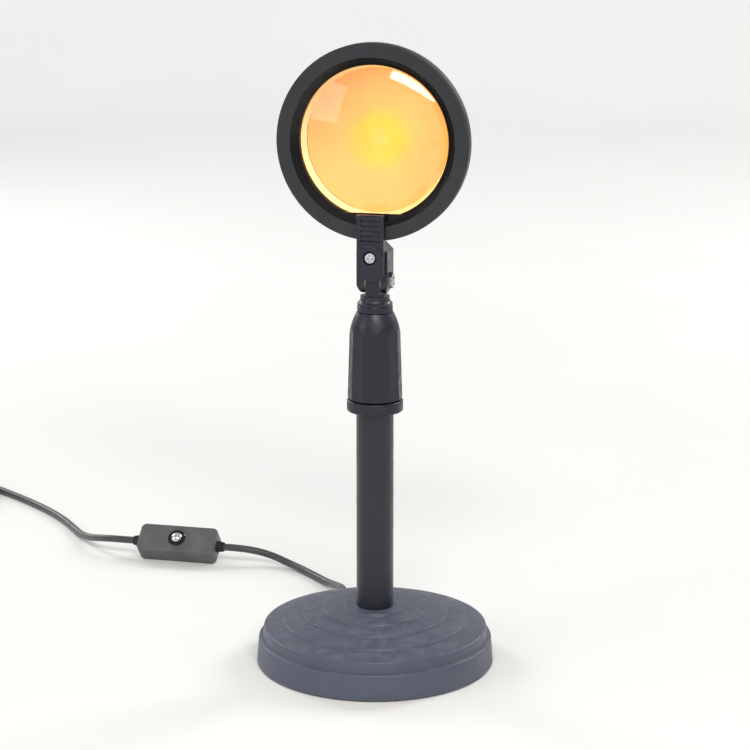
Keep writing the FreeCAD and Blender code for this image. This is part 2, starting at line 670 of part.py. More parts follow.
def make_base_shell(behind):
    """The stepped round shell, with the post's socket, three screw bosses and the cord's hole."""
    outline = [
        ("base_inner", "rim_bottom"), ("base_radius", "rim_bottom"), ("rim_top_radius", "rim_top"),
        ("disc_radius + terrace_slant", "ledge_height"), ("disc_radius", "disc_top"),
    ]
    terraces = [f"(terrace_first + {k} * terrace_pitch)" for k in range(int(value("terrace_count")) - 1, -1, -1)]
    for edge in terraces:
        outline.append((f"{edge} + terrace_slant", f"{dome(edge)} - terrace_step"))
        outline.append((edge, dome(edge)))
    outline += [
        ("socket_radius", "shell_top"), ("socket_radius", "socket_floor"),
        ("bolt_clear", "socket_floor"), ("bolt_clear", "weight_top"), ("column_radius", "weight_top"),
        ("column_radius", "shell_top - terrace_step - shell_wall"),
        ("disc_radius - shell_wall", "disc_top - shell_wall"),
        ("disc_radius - shell_wall", "ledge_height - shell_wall"),
        ("base_inner", "ledge_height - shell_wall"),
    ]
    shell = turned("base_shell", outline)
    for edge in terraces:
        shell.soften(rim(edge, dome(edge)), "terrace_round")
    shell.soften(rim("disc_radius", "disc_top"), "rim_round")
    shell.soften(rim("rim_top_radius", "rim_top"), "rim_round")
    boss_height = "disc_top - shell_wall / 2 - plate_top"
    boss = shell.pad("XY_Plane", [("0", "-boss_circle", "boss_radius")], boss_height, lift="plate_top")
    pilot = shell.pocket("XY_Plane", [("0", "-boss_circle", "plate_screw_radius * 0.9")],
                         "plate_screw_length + 1", lift="plate_top", flip=True)
    shell.round_about([boss, pilot], "boss_count")
    shell.pocket("XY_Plane", [("0", "lead_offset", "lead_radius + 0.2")],
                 "socket_floor_thickness + 1", lift="socket_floor")
    shell.pocket("XZ_Plane", [("0", "exit_height", "relief_neck + 0.2")], "base_radius + 2")
    shell.place(rotation=behind)


def make_base(behind):
    """Everything that stands on the table."""
    turned("foot_pad", box_corners("0", "foot_radius", "0", "foot_thickness"))
    plate = turned("bottom_plate", box_corners("0", "base_inner - free_gap", "foot_thickness", "plate_top"))
    hole = plate.pocket("XY_Plane", [("0", "-boss_circle", "plate_screw_radius + face_gap")],
                        "plate_thickness + 1", lift="foot_thickness", flip=True)
    recess = plate.pocket("XY_Plane", [("0", "-boss_circle", "plate_screw_head + free_gap")],
                          "plate_screw_head_height", lift="foot_thickness", flip=True)
    plate.round_about([hole, recess], "boss_count")
    plate.place(rotation=behind)

    screws = []
    for k in range(int(value("boss_count"))):
        angle = f"(exit_angle - 90 + {k} * 360 / boss_count)"
        one = screw(f"plate_screw_{k + 1}", "plate_screw_radius * 0.88", "plate_screw_length",
                    "plate_screw_head", "plate_screw_head_height", node=False)
        one.place(f"boss_circle * cos({angle})", f"boss_circle * sin({angle})",
                  "foot_thickness + plate_screw_head_height", Rotation(Vector(1, 0, 0), 180))
        screws.append(one)
    group("plate_screws", screws)

    weight = turned("base_weight", [
        ("bolt_clear", "counterbore_top"), ("counterbore_radius", "counterbore_top"),
        ("counterbore_radius", "plate_top"), ("weight_radius", "plate_top"),
        ("weight_radius", "weight_top"), ("bolt_clear", "weight_top"),
    ])
    channel = box_corners("-notch_width / 2", "notch_width / 2", "bolt_clear + 0.5", "weight_radius + 2")
    weight.pocket("XY_Plane", [channel], "notch_depth", lift="weight_top")
    weight.place(rotation=behind)
    make_base_shell(behind)

    bolt = Piece("post_bolt")
    bolt.pad("XY_Plane", [ring_corners(6, "post_bolt_head")], "post_bolt_head_height",
             lift="bolt_seat - post_bolt_head_height")
    bolt.pad("XY_Plane", [("0", "0", "post_bolt_radius")], "post_bolt_length + seat_gap",
             lift="bolt_seat - seat_gap")
    washer("bolt_washer", "bolt_clear", "post_washer_radius", "bolt_seat", "counterbore_top")
    plug = washer("tube_plug", "post_bolt_radius + seat_gap", "tube_bore - seat_gap",
                  "socket_floor", "socket_floor + plug_length")
    plug.pocket("XY_Plane", [("0", "lead_offset", "lead_radius + 0.2")], "plug_length + 2",
                lift="socket_floor + plug_length + 1")
    plug.place(rotation=behind)


def make_strain_relief(behind):
    """The rubber relief in the rear of the base: flange, neck, collar and tapered tail."""
    bore = "lead_radius + seat_gap"
    inside, outside = "base_inner - free_gap", "rim_top_radius + free_gap + 0.4"
    relief = turned("strain_relief", [
        (bore, "relief_start"), ("relief_flange", "relief_start"), ("relief_flange", inside),
        ("relief_neck", inside), ("relief_neck", outside), ("relief_collar", outside),
        ("relief_collar", f"{outside} + 2"), ("relief_neck + 0.3", f"{outside} + 3"),
        ("relief_tip", "relief_reach"), (bore, "relief_reach"),
    ])
    relief.place("0", "0", "exit_height", behind.multiply(Rotation(Vector(1, 0, 0), -90)))


# ---------------------------------------------------------------- post


def make_post():
    """Outer tube, the fixed collar on it and the split ring in its mouth."""
    washer("outer_tube", "tube_bore", "tube_radius", "socket_floor", "tube_top")
    collar = turned("lock_body", [
        ("socket_radius", "flange_bottom"), ("flange_radius", "flange_bottom"), ("flange_radius", "flange_top"),
        ("spigot_radius", "flange_top"), ("spigot_radius", "spigot_top"), ("socket_radius", "spigot_top"),
    ])
    collar.soften(rim("flange_radius", "flange_bottom"), "flange_round")
    collar.soften(rim("flange_radius", "flange_top"), "flange_round")
    collet = washer("lock_collet", "mast_radius + running_gap", "collet_radius", "tube_top", "collet_top")
    collet.soften(rim("collet_radius", "collet_top"), "(collet_radius - mast_radius) / 2", "Chamfer")
    reach, half = "collet_radius + 1", "collet_slot / 2"
    for role in (box_corners(f"-({reach})", reach, f"-({half})", half),
                 box_corners(f"-({half})", half, f"-({reach})", reach)):
        collet.pocket("XY_Plane", [role], "collet_length - collet_root", lift="collet_top")


def make_lock_sleeve():
    """The faceted nut that squeezes the split ring: a tapered grip under a rounded shoulder."""
    sleeve = Piece("lock_sleeve")
    foot = sleeve.sketch("XY_Plane", "sleeve_bottom", [ring_corners(12, "sleeve_foot_radius", "15")])
    head = sleeve.sketch("XY_Plane", "sleeve_top", [ring_corners(12, "sleeve_head_radius", "15")])
    sleeve.loft([foot, head])
    rise, run = "shoulder_length", "(shoulder_radius - sleeve_neck_radius)"
    slope = f"sqrt({rise}^2 + {run}^2)"
    sleeve.groove([
        ("shoulder_radius", "shoulder_bottom",
         f"(shoulder_radius + sleeve_neck_radius) / 2 + shoulder_bulge * {rise} / {slope}",
         f"(shoulder_bottom + sleeve_top) / 2 + shoulder_bulge * {run} / {slope}"),
        ("sleeve_neck_radius", "sleeve_top"), ("sleeve_neck_radius", "sleeve_top + 1"),
        ("sleeve_foot_radius + 1", "sleeve_top + 1"), ("sleeve_foot_radius + 1", "shoulder_bottom"),
    ])
    sleeve.groove([
        ("0", "sleeve_bottom - 1"), ("spigot_radius + free_gap", "sleeve_bottom - 1"),
        ("spigot_radius + free_gap", "spigot_top + 1"), ("collet_radius + 0.4", "spigot_top + 1"),
        ("collet_radius + 0.4", "sleeve_top - sleeve_lip - 1"), ("mast_radius + free_gap", "sleeve_top - sleeve_lip"),
        ("mast_radius + free_gap", "sleeve_top + 1"), ("0", "sleeve_top + 1"),
    ])


def make_mast():
    """Inner tube, its glide bush and its cap."""
    washer("inner_tube", "mast_bore", "mast_radius", "mast_bottom", "mast_top")
    washer("glide_bush", "mast_radius", "tube_bore - face_gap", "mast_bottom", "mast_bottom + bush_length")
    cap = turned("mast_cap", [
        ("cap_bore", "cap_bottom"), ("mast_bore - seat_gap", "cap_bottom"), ("mast_bore - seat_gap", "mast_top"),
        ("mast_radius + seat_gap", "mast_top"), ("mast_radius + seat_gap", "mast_top - cap_skirt"),
        ("cap_radius", "mast_top - cap_skirt"), ("cap_radius", "cap_top"), ("cap_bore", "cap_top"),
    ])
    cap.soften(rim("cap_radius", "cap_top"), "cap_round")


def make_neck():
    """The neck turns on the mast cap; its tongue stands between the knuckle's cheeks."""
    neck = turned("swivel_neck", [
        ("0", "stud_bottom"), ("stud_radius", "stud_bottom"), ("stud_radius", "neck_bottom"),
        ("neck_foot_radius", "neck_bottom"),
        ("neck_foot_radius", "neck_bottom + neck_foot_height",
         "neck_radius + (neck_foot_radius - neck_radius) * 0.35", "neck_bottom + flare_height * 0.5"),
        ("neck_radius", "neck_bottom + flare_height"), ("neck_radius", "neck_top"), ("0", "neck_top"),
    ])
    tongue = [
        ("-tongue_radius", "neck_top - 1"), ("tongue_radius", "neck_top - 1"),
        ("tongue_radius", "tilt_height", "0", "tilt_height + tongue_radius"),
        ("-tongue_radius", "tilt_height"),
    ]
    neck.pad("YZ_Plane", [tongue], "tongue_width", both=True)
    neck.pocket("YZ_Plane", [("0", "tilt_height", "bolt_bore")], "tongue_width + 2", both=True)
    way_out = "neck_top + stud_bore + 1"
    neck.pocket("XY_Plane", [("0", "0", "stud_bore")], f"{way_out} - stud_bottom", lift="stud_bottom", flip=True)
    neck.pocket("XZ_Plane", [("0", way_out, "stud_bore")], "neck_radius + 1")
    washer("pan_washer", "stud_radius + seat_gap", "pan_washer_radius", "pan_nut_top", "pan_washer_top")
    nut("pan_nut", "pan_nut_corner", "stud_radius + seat_gap", "pan_nut_height").place(
        "0", "0", "pan_nut_top - pan_nut_height")


# ---------------------------------------------------------------- knuckle


def make_knuckle_block():
    """The block: two cheeks round the tongue, and a rounded top behind the swing screw."""
    block = Piece("knuckle_block")
    reach = "block_top_round * cos(45)"
    front = [
        ("-block_foot_width / 2", "tilt_height - block_round"), ("block_foot_width / 2", "tilt_height - block_round"),
        ("block_half", "block_chamfer_top"), ("block_half", "block_shoulder"),
        (reach, f"swing_height + {reach}", "0", "swing_height + block_top_round"),
        (f"-({reach})", f"swing_height + {reach}"), ("-block_half", "block_shoulder"),
        ("-block_half", "block_chamfer_top"),
    ]
    block.pad("XZ_Plane", [front], "block_depth", both=True)
    low = "tilt_height - block_round - 1"
    for side in ("", "-"):
        corner = [
            (f"{side}block_front", "tilt_height", f"{side}block_round * cos(45)", "tilt_height - block_round * cos(45)"),
            ("0", "tilt_height - block_round"), ("0", low), (f"{side}(block_front + 1)", low),
            (f"{side}(block_front + 1)", "tilt_height"),
        ]
        block.pocket("YZ_Plane", [corner], "block_width + 2", both=True)
    slot = box_corners("-slot_width / 2", "slot_width / 2", low, "tilt_height + tongue_radius + 0.9")
    block.pocket("XZ_Plane", [slot], "block_depth + 2", both=True)
    block.pocket("YZ_Plane", [("0", "tilt_height", "bolt_bore")], "block_width + 2", both=True)
    for lift, flip in (("block_half", False), ("-block_half", True)):
        block.pocket("YZ_Plane", [("0", "tilt_height", "knuckle_nut_corner + face_gap")],
                     "cheek_recess", lift=lift, flip=flip)
    block.pocket("XZ_Plane", [("0", "swing_height", "bolt_bore")], "block_depth + 2", both=True)
    block.pocket("XZ_Plane", [("0", "swing_height", "knuckle_nut_corner + face_gap")],
                 "knuckle_nut_height + face_gap", lift="-block_front", flip=True)


def make_knuckle():
    """The block and what fastens it to the neck."""
    make_knuckle_block()
    rings = []
    for k, side in enumerate(("", "-")):
        ring = washer(f"friction_washer_{k + 1}", "bolt_bore", "friction_washer_radius",
                      "tongue_half" if not side else "-tongue_half - friction_washer_thickness",
                      "tongue_half + friction_washer_thickness" if not side else "-tongue_half", node=False)
        ring.place("0", "0", "tilt_height", Rotation(Vector(0, 1, 0), 90))
        rings.append(ring)
    group("friction_washers", rings)
    bolt = screw("tilt_bolt", "knuckle_bolt_radius", "block_width - 2 * cheek_recess + knuckle_nut_height + 0.3",
                 "bolt_head_radius", "bolt_head_height")
    bolt.place("-block_half + cheek_recess", "0", "tilt_height", Rotation(Vector(0, 1, 0), -90))
    nut("tilt_nut", "knuckle_nut_corner", "knuckle_bolt_radius + seat_gap", "knuckle_nut_height").place(
        "block_half - cheek_recess", "0", "tilt_height", Rotation(Vector(0, 1, 0), 90))
    nut("swing_nut", "knuckle_nut_corner", "bolt_bore", "knuckle_nut_height").place(
        "0", "block_front", "swing_height", Rotation(Vector(1, 0, 0), 90))


# ---------------------------------------------------------------- arm and head


def make_arm():
    """The flat arm that carries the head: a boss at its foot and a ribbed inset above."""
    arm = Piece("lamp_arm")
    half, foot = "arm_width / 2", "arm_foot_width / 2"
    outline = [
        (f"-{foot}", "arm_bottom"), (foot, "arm_bottom"), (half, "arm_bottom + arm_taper"), (half, "arm_top"),
        (f"-{half}", "arm_top"), (f"-{half}", "arm_bottom + arm_taper"),
    ]
    arm.pad("XZ_Plane", [outline], "arm_thickness", lift="arm_back")
    arm.pad("XZ_Plane", [("0", "swing_height", "arm_boss_radius")], "arm_thickness + arm_boss_height", lift="arm_back")
    inset = box_corners("-inset_width / 2", "inset_width / 2", "inset_bottom", "arm_top + 1")
    arm.pocket("XZ_Plane", [inset], "inset_depth", lift="arm_front")
    rib = box_corners("-inset_width / 2", "inset_width / 2", "inset_bottom + rib_height", "inset_bottom + 2 * rib_height")
    first = arm.pad("XZ_Plane", [rib], "rib_depth + seat_gap", lift="arm_front - inset_depth - seat_gap")
    arm.in_line([first], "Z_Axis", "rib_pitch * (rib_count - 1)", "rib_count")
    arm.pocket("XZ_Plane", [("0", "swing_height", "bolt_head_radius + face_gap")], "arm_counterbore", lift="boss_front")
    arm.pocket("XZ_Plane", [("0", "swing_height", "knuckle_bolt_radius + seat_gap")], "arm_thickness + 2",
               lift="boss_front")
    pilots = [(f"{side}arm_screw_spacing / 2", "arm_screw_height", "head_screw_radius * 0.95") for side in ("", "-")]
    arm.pocket("XZ_Plane", pilots, "arm_thickness - inset_depth - free_gap", lift="arm_back", flip=True)

    long_screw = screw("swing_screw", "knuckle_bolt_radius", "boss_front - arm_counterbore + block_front - free_gap",
                       "bolt_head_radius", "bolt_head_height")
    long_screw.place("0", "-(boss_front - arm_counterbore)", "swing_height", Rotation(Vector(1, 0, 0), 90))
    ring = washer("swing_washer", "bolt_bore", "swing_washer_radius", "block_front", "arm_back")
    ring.place("0", "0", "swing_height", FORWARD)
    pair = []
    for k, side in enumerate(("", "-")):
        one = screw(f"arm_screw_{k + 1}", "head_screw_radius * 0.93", "arm_screw_length",
                    "head_screw_head", "head_screw_head_height", node=False)
        one.place(f"{side}arm_screw_spacing / 2", "-flange_ring_back", "arm_screw_height", BACKWARD)
        pair.append(one)
    group("arm_screws", pair)


# Rotations that turn a body's own Z axis to the front or to the rear of the lamp.
FORWARD = Rotation(Vector(1, 0, 0), 90)
BACKWARD = Rotation(Vector(1, 0, 0), -90)


def in_head(piece):
    """Puts a turned piece on the lens axis, looking forward."""
    return piece.place("0", "0", "head_height", FORWARD)


def head_screw_holes(piece, radius, depth, lift, flip=False):
    """The holes of the housing's screws, on their circle."""
    x = "housing_screw_circle * cos(45)"
    hole = piece.pocket("XY_Plane", [(x, x, radius)], depth, lift=lift, flip=flip)
    piece.round_about([hole], "housing_screw_count")


def arm_screw_holes(piece, radius, depth, lift):
    """The holes of the two arm screws, in the head's own frame."""
    drop = "arm_screw_height - head_height"
    holes = [(f"{side}arm_screw_spacing / 2", drop, radius) for side in ("", "-")]
    piece.pocket("XY_Plane", holes, depth, lift=lift, flip=True)


def make_bezel():
    """The ring round the lens: black bevel, lip before the lens and a flat foot to the opening."""
    bezel = turned("bezel_ring", [
        ("lens_bore", "bezel_back"), ("bezel_radius", "bezel_back"), ("bezel_radius", "bezel_front"),
        ("bevel_radius", "bezel_front"), ("opening_radius", "lip_front"), ("opening_radius", "lip_back"),
        ("lens_bore", "lip_back"),
    ])
    bezel.soften(rim("bezel_radius", "bezel_front"), "bezel_round")
    bezel.soften(rim("bezel_radius", "bezel_back"), "bezel_round")
    web_radius = "(opening_radius + 2.9)"
    reach = f"sqrt({web_radius}^2 - lens_flat^2)"
    web = [
        (reach, "-lens_flat"), (f"-{reach}", "-lens_flat", "0", f"-{web_radius}"),
    ]
    bezel.pad("XY_Plane", [web], "web_thickness", lift="web_front - web_thickness")
    head_screw_holes(bezel, "head_screw_radius * 0.95", "housing_screw_length - flange_ring_thickness + 0.5",
                     "bezel_back", flip=True)
    arm_screw_holes(bezel, "head_screw_radius + face_gap", "bezel_thickness + 1", "bezel_back")
    in_head(bezel)


def make_housing():
    """The rear shell of the head: flange, seat of the lens, barrel and a vented back."""
    back, taper = "-housing_back", "-housing_taper_start"
    housing = turned("rear_housing", [
        ("lens_bore", "bezel_back"), ("flange_ring_radius", "bezel_back"),
        ("flange_ring_radius", "flange_ring_back"), ("seat_radius", "flange_ring_back"),
        ("seat_radius", "flange_ring_back - 2.4"),
        ("barrel_radius", "flange_ring_back - 2.4 - (seat_radius - barrel_radius) * 0.6"),
        ("barrel_radius", taper), ("housing_back_radius", back), ("0", back),
        ("0", f"{back} + housing_wall"), ("housing_back_radius - housing_wall * 0.7", f"{back} + housing_wall"),
        ("barrel_bore", f"{taper} + housing_wall * 0.4"),
        ("barrel_bore", "gasket_back - 4.4"), ("gasket_inner - face_gap", "gasket_back - 2"),
        ("gasket_inner - face_gap", "gasket_back"), ("lens_bore", "gasket_back"),
    ])
    slot = box_corners("-vent_width / 2", "vent_width / 2", "vent_inner", "vent_outer")
    vent = housing.pocket("XY_Plane", [slot], "housing_wall + 2", lift=f"{back} - 1", flip=True)
    housing.round_about([vent], "vent_count")
    head_screw_holes(housing, "head_screw_radius + face_gap", "flange_ring_thickness + 1", "flange_ring_back - 0.5", True)
    arm_screw_holes(housing, "head_screw_radius + face_gap", "flange_ring_thickness + 1", "flange_ring_back - 0.5")
    housing.pocket("XZ_Plane", [("0", "lead_plane", "lead_radius + 1.5")], "barrel_radius + 1", flip=True)
    in_head(housing)
    screws = []
    for k in range(int(value("housing_screw_count"))):
        angle = f"(45 + {k} * 360 / housing_screw_count)"
        one = screw(f"housing_screw_{k + 1}", "head_screw_radius * 0.93", "housing_screw_length",
                    "head_screw_head", "head_screw_head_height", node=False)
        one.place(f"housing_screw_circle * cos({angle})", "-flange_ring_back",
                  f"head_height + housing_screw_circle * sin({angle})", BACKWARD)
        screws.append(one)
    group("housing_screws", screws)


def make_optics():
    """Lens, gasket, colour filter, reflector and light emitter, from front to back."""
    in_head(turned("lens", [
        ("0", "lens_back"), ("lens_radius", "lens_back"),
        ("lens_radius", "lens_rim", "lens_radius / 2", "lens_top - half_sag"), ("0", "lens_top"),
    ]))
    in_head(washer("lens_gasket", "gasket_inner", "lens_radius", "gasket_back", "lens_back"))
    in_head(washer("filter_disc", "0", "inner_radius", "filter_back", "filter_front"))
    in_head(turned("reflector", [
        ("reflector_throat", "board_front"), ("reflector_throat + reflector_wall * 1.2", "board_front"),
        ("reflector_mouth + 0.8", "filter_back - reflector_wall * 1.2"),
        ("inner_radius", "filter_back - reflector_wall * 1.2"), ("inner_radius", "filter_back"),
        ("reflector_mouth", "filter_back"),
    ]))
    board = washer("led_board", "0", "board_radius", "sink_front", "board_front")
    holes = [(f"{side}board_screw_spacing / 2", "0", "head_screw_radius + face_gap") for side in ("", "-")]
    board.pocket("XY_Plane", holes, "board_thickness + 1", lift="board_front + 0.5")
    in_head(board)
    in_head(turned("led_emitter", [
        ("0", "board_front"), ("emitter_radius", "board_front"), ("emitter_radius", "board_front + emitter_height"),
        cap("emitter_lens", "board_front + emitter_height", "emitter_rise"),
        ("0", "board_front + emitter_height + emitter_rise"),
    ]))
    sink = turned("heat_sink", [
        ("0", "fin_back"), ("sink_fin_radius", "fin_back"), ("sink_fin_radius", "sink_back"),
        ("inner_radius", "sink_back"), ("inner_radius", "sink_front"), ("0", "sink_front"),
    ])
    first = "-fin_pitch * (fin_gap_count - 1) / 2"
    gap = box_corners(f"{first} - fin_gap / 2", f"{first} + fin_gap / 2", "-inner_radius", "inner_radius")
    cut = sink.pocket("XY_Plane", [gap], "sink_back - fin_back", lift="fin_back", flip=True)
    sink.in_line([cut], "X_Axis", "fin_pitch * (fin_gap_count - 1)", "fin_gap_count")
    sink.pocket("XY_Plane", holes, "sink_thickness", lift="sink_front")
    in_head(sink)
    pair = []
    for k, side in enumerate(("", "-")):
        one = screw(f"board_screw_{k + 1}", "head_screw_radius", "board_thickness + sink_thickness - 0.2",
                    "head_screw_head", "head_screw_head_height * 0.6", node=False)
        one.place(f"{side}board_screw_spacing / 2", "-board_front", "head_height", FORWARD)
        pair.append(one)
    group("board_screws", pair)


# ---------------------------------------------------------------- cord


def rounded_edges(points, limit=None):
    """Straight runs joined by tangent arcs, each arc as large as its two runs allow."""
    edges, radii = [], []
    start = points[0]
    for before, corner, after in zip(points, points[1:], points[2:]):
        come, go = corner - before, after - corner
        half_turn = come.getAngle(go) / 2
        setback = 0.45 * min(come.Length, go.Length)
        if limit is not None:
            setback = min(setback, limit * math.tan(half_turn))
        radius = setback / math.tan(half_turn)
        come.normalize()
        go.normalize()
        inward = (go - come).normalize()
        first, last = corner - come * setback, corner + go * setback
        middle = corner + inward * (radius / math.cos(half_turn) - radius)
        edges.append(Part.LineSegment(start, first).toShape())
        edges.append(Part.Arc(first, middle, last).toShape())
        radii.append(radius)
        start = last
    edges.append(Part.LineSegment(start, points[-1]).toShape())
    return edges, radii


def swept(label, edges, radius):
    """A round tube along joined edges, with its volume held against section times length."""
    path = Part.Wire(edges)
    first = edges[0]
    along = first.tangentAt(first.FirstParameter)
    circle = Part.Circle(first.valueAt(first.FirstParameter), along, radius)
    tube = path.makePipeShell([Part.Wire([circle.toShape()])], True, False)
    wanted = math.pi * radius**2 * path.Length
    print(f"{label}: {path.Length:.1f} mm long, volume {tube.Volume / wanted:.4f} of section times length")
    if not 0.98 < tube.Volume / wanted < 1.02:
        raise ValueError(f"{label} has the wrong volume")
    node = DOC.addObject("Part::Feature", label)
    node.Label = label
    node.Shape = tube
    NODES.append(node)
    return path.Length


def along_route(label, points, radius, limit=None):
    """A tube along a route, with the least radius of its bends printed."""
    edges, radii = rounded_edges(points, limit)
    if radii:
        print(f"{label}: least bend radius {min(radii):.1f} mm")
    return swept(label, edges, radius)


def biarc(start, start_way, stop, stop_way):
    """Two tangent arcs from one point and direction to another."""
    chord = stop - start
    ways = start_way + stop_way
    square = 2 * (1 - start_way.dot(stop_way))
    lean = chord.dot(ways)
    reach = (-lean + math.sqrt(lean**2 + square * chord.dot(chord))) / square
    joint = (start + stop + (start_way - stop_way) * reach) * 0.5
    arcs = []
    for low, high, knee in ((start, joint, start + start_way * reach), (joint, stop, stop - stop_way * reach)):
        middle = (low + high) * 0.5
        half = (knee - low).getAngle(high - low)
        bulge = (high - low).Length / 2 * math.tan(half / 2)
        arcs.append(Part.Arc(low, middle + (knee - middle).normalize() * bulge, high).toShape())
    return arcs


def coil_point(angle):
    """The coil's middle line: it spirals in on the lower layer and out again on the upper one.

    angle is in radians from the innermost point, where the cord climbs a layer in half a turn.
    """
    pitch = value("coil_pitch")
    low = value("cord_radius") + value("tie_thickness") + value("face_gap")
    radius = value("coil_core") + pitch * abs(angle) / (2 * math.pi)
    share = min(max(angle / math.pi + 0.5, 0.0), 1.0)
    height = low + pitch * share * share * (3 - 2 * share)
    start = -2 * math.pi * value("coil_turns_in")
    facing = math.radians(value("coil_entry") - 90) + angle - start
    return Vector(value("coil_x") + radius * math.cos(facing), value("coil_y") + radius * math.sin(facing), height)


def coil_ends():
    """Where the coil's straight ends start and stop, and which way each runs."""
    tip = 2 * value("cord_radius")
    low = -2 * math.pi * value("coil_turns_in")
    high = 2 * math.pi * value("coil_turns_out")
    way_in = Vector(math.cos(math.radians(value("coil_entry"))), math.sin(math.radians(value("coil_entry"))), 0)
    turned_by = math.degrees(high - low)
    leave = math.radians(value("coil_entry") + turned_by)
    way_out = Vector(math.cos(leave), math.sin(leave), 0)
    return coil_point(low) - way_in * tip, way_in, coil_point(high) + way_out * tip, way_out


def make_coil():
    """The put-away cord: two layers of turns as one unbroken tube, with straight ends."""
    low = -2 * math.pi * value("coil_turns_in")
    high = 2 * math.pi * value("coil_turns_out")
    steps = math.ceil((high - low) / (math.pi / 2))
    angles = [low + (high - low) * k / steps for k in range(steps + 1)]
    points = [coil_point(angle) for angle in angles]
    entry, way_in, leave, way_out = coil_ends()
    near = 0.05
    ways = [(coil_point(a + near) - coil_point(a - near)).normalize() for a in angles]
    ways[0], ways[-1] = way_in, way_out
    edges = [Part.LineSegment(entry, points[0]).toShape()]
    for k in range(steps):
        edges += biarc(points[k], ways[k], points[k + 1], ways[k + 1])
    edges.append(Part.LineSegment(points[-1], leave).toShape())
    length = swept("cord_coil", edges, value("cord_radius"))
    line = Part.Wire(edges).discretize(Number=900)
    step = length / 899
    apart = math.ceil(6 * value("cord_radius") / step)
    beside = 4 * value("cord_radius")
    least = min(
        (line[i] - line[j]).Length for i in range(len(line)) for j in range(i + apart, len(line))
        if abs(line[i].x - line[j].x) < beside and abs(line[i].y - line[j].y) < beside
    )
    print(f"cord_coil: least gap to itself {least - 2 * value('cord_radius'):.2f} mm")
    return length


def make_tie():
    """The band round the coil, across from where the cord enters."""
    turn = Rotation(Vector(0, 0, 1), value("coil_entry") + 90)
    inner = value("coil_core") - value("cord_radius") - 0.5
    outer = value("coil_core") + (value("coil_turns_out") + 0.2) * value("coil_pitch") + value("cord_radius") - 1.6
    height = 2 * value("cord_radius") + value("coil_pitch") + 0.2
    wall, width = value("tie_thickness"), value("tie_width")

    def block(low_radius, high_radius, bottom, top, wide):
        box = Part.makeBox(high_radius - low_radius, wide, top - bottom, Vector(low_radius, -wide / 2, bottom))
        sides = [e for e in box.Edges if abs(e.tangentAt(e.FirstParameter).y) > 0.999]
        return box.makeFillet(1.2 if wide < 2 * width else 0.9, sides)

    band = block(inner - wall, outer + wall, 0.0, height + 2 * wall, width)
    band = band.cut(block(inner, outer, wall, height + wall, 3 * width))
    tie = DOC.addObject("Part::Feature", "cord_tie")
    tie.Label = "cord_tie"
    tie.Shape = band
    tie.Placement = Placement(Vector(value("coil_x"), value("coil_y"), 0), turn)
    NODES.append(tie)


# How far forward and down two points of the head's lead stand on its way to the knuckle block.
LEAD_SHARES = ((0.14, 0.52), (0.44, 0.88))


def make_leads(behind):
    """The thin leads inside the lamp: base and post, mast, and knuckle to head."""
    reach, offset = value("relief_reach"), value("lead_offset")
    level, height = value("exit_height"), value("lead_height")
    inside, bend = value("weight_radius"), value("lead_bend")
    top = value("mast_bottom") - value("free_gap")
    route = [
        Vector(0, reach, level), Vector(0, value("relief_start") - bend * 0.35, level),
        Vector(0, inside + bend * 0.15, height),
        Vector(0, offset, height), Vector(0, offset, top),
    ]
    along_route("base_lead", [behind.multVec(p) for p in route], value("lead_radius"), bend)
    rise = [Vector(0, offset, value("mast_bottom")), Vector(0, offset, value("stud_bottom") - 1)]
    along_route("mast_lead", [behind.multVec(p) for p in rise], value("lead_radius"))
    inner = Vector(0, -value("lead_plane"), value("head_height") - value("board_radius"))
    hang = [inner, Vector(0, inner.y, value("head_height") - value("barrel_radius") - value("lead_drop"))]
    entry = Vector(0, value("block_front") + value("lead_gap"), value("lead_entry"))
    way = entry - hang[1]
    hang += [hang[1] + Vector(0, way.y * forward, way.z * down) for forward, down in LEAD_SHARES]
    along_route("head_lead", hang + [entry], value("lead_radius"))
    grommet = turned("head_grommet", [
        ("lead_radius + seat_gap", "barrel_bore + seat_gap"), ("lead_radius + 1.3", "barrel_bore + seat_gap"),
        ("lead_radius + 1.3", "barrel_radius + 0.2"), ("lead_radius + 2.2", "barrel_radius + 0.2"),
        ("lead_radius + 2.2", "barrel_radius + 1.2"), ("lead_radius + seat_gap", "barrel_radius + 1.8"),
    ])
    grommet.place("0", "-(lead_plane)", "head_height", Rotation(Vector(1, 0, 0), 180))


# The cord's routes where it isn't coiled, chosen by hand: its place on the table and its height.
TO_SWITCH = (
    (-41.5, 87.5, 4.9), (-49.5, 98.0, 2.5), (-58.8, 107.8, 2.1), (-69.0, 117.4, 2.1), (-79.8, 124.8, 2.9),
    (-90.0, 128.2, 5.4), (-99.5, 126.6, 8.0),
)
AFTER_SWITCH = (
    (-185.5, 125.8, 8.9), (-193.5, 130.2, 7.2), (-201.2, 136.8, 4.9), (-208.8, 145.4, 2.9), (-217.0, 156.0, 2.1),
    (-226.0, 167.4, 2.1), (-236.0, 178.4, 2.1), (-247.0, 188.8, 2.1), (-258.8, 198.6, 2.1), (-270.2, 207.2, 2.1),
    (-281.6, 215.4, 2.1), (-293.2, 223.2, 2.1),
)
TAIL_STEPS = ((0.0, 13.0, 0.0), (-0.8, 24.0, -3.0), (-2.2, 36.0, -5.2), (-3.2, 48.0, -4.6), (-3.6, 58.0, -3.3))


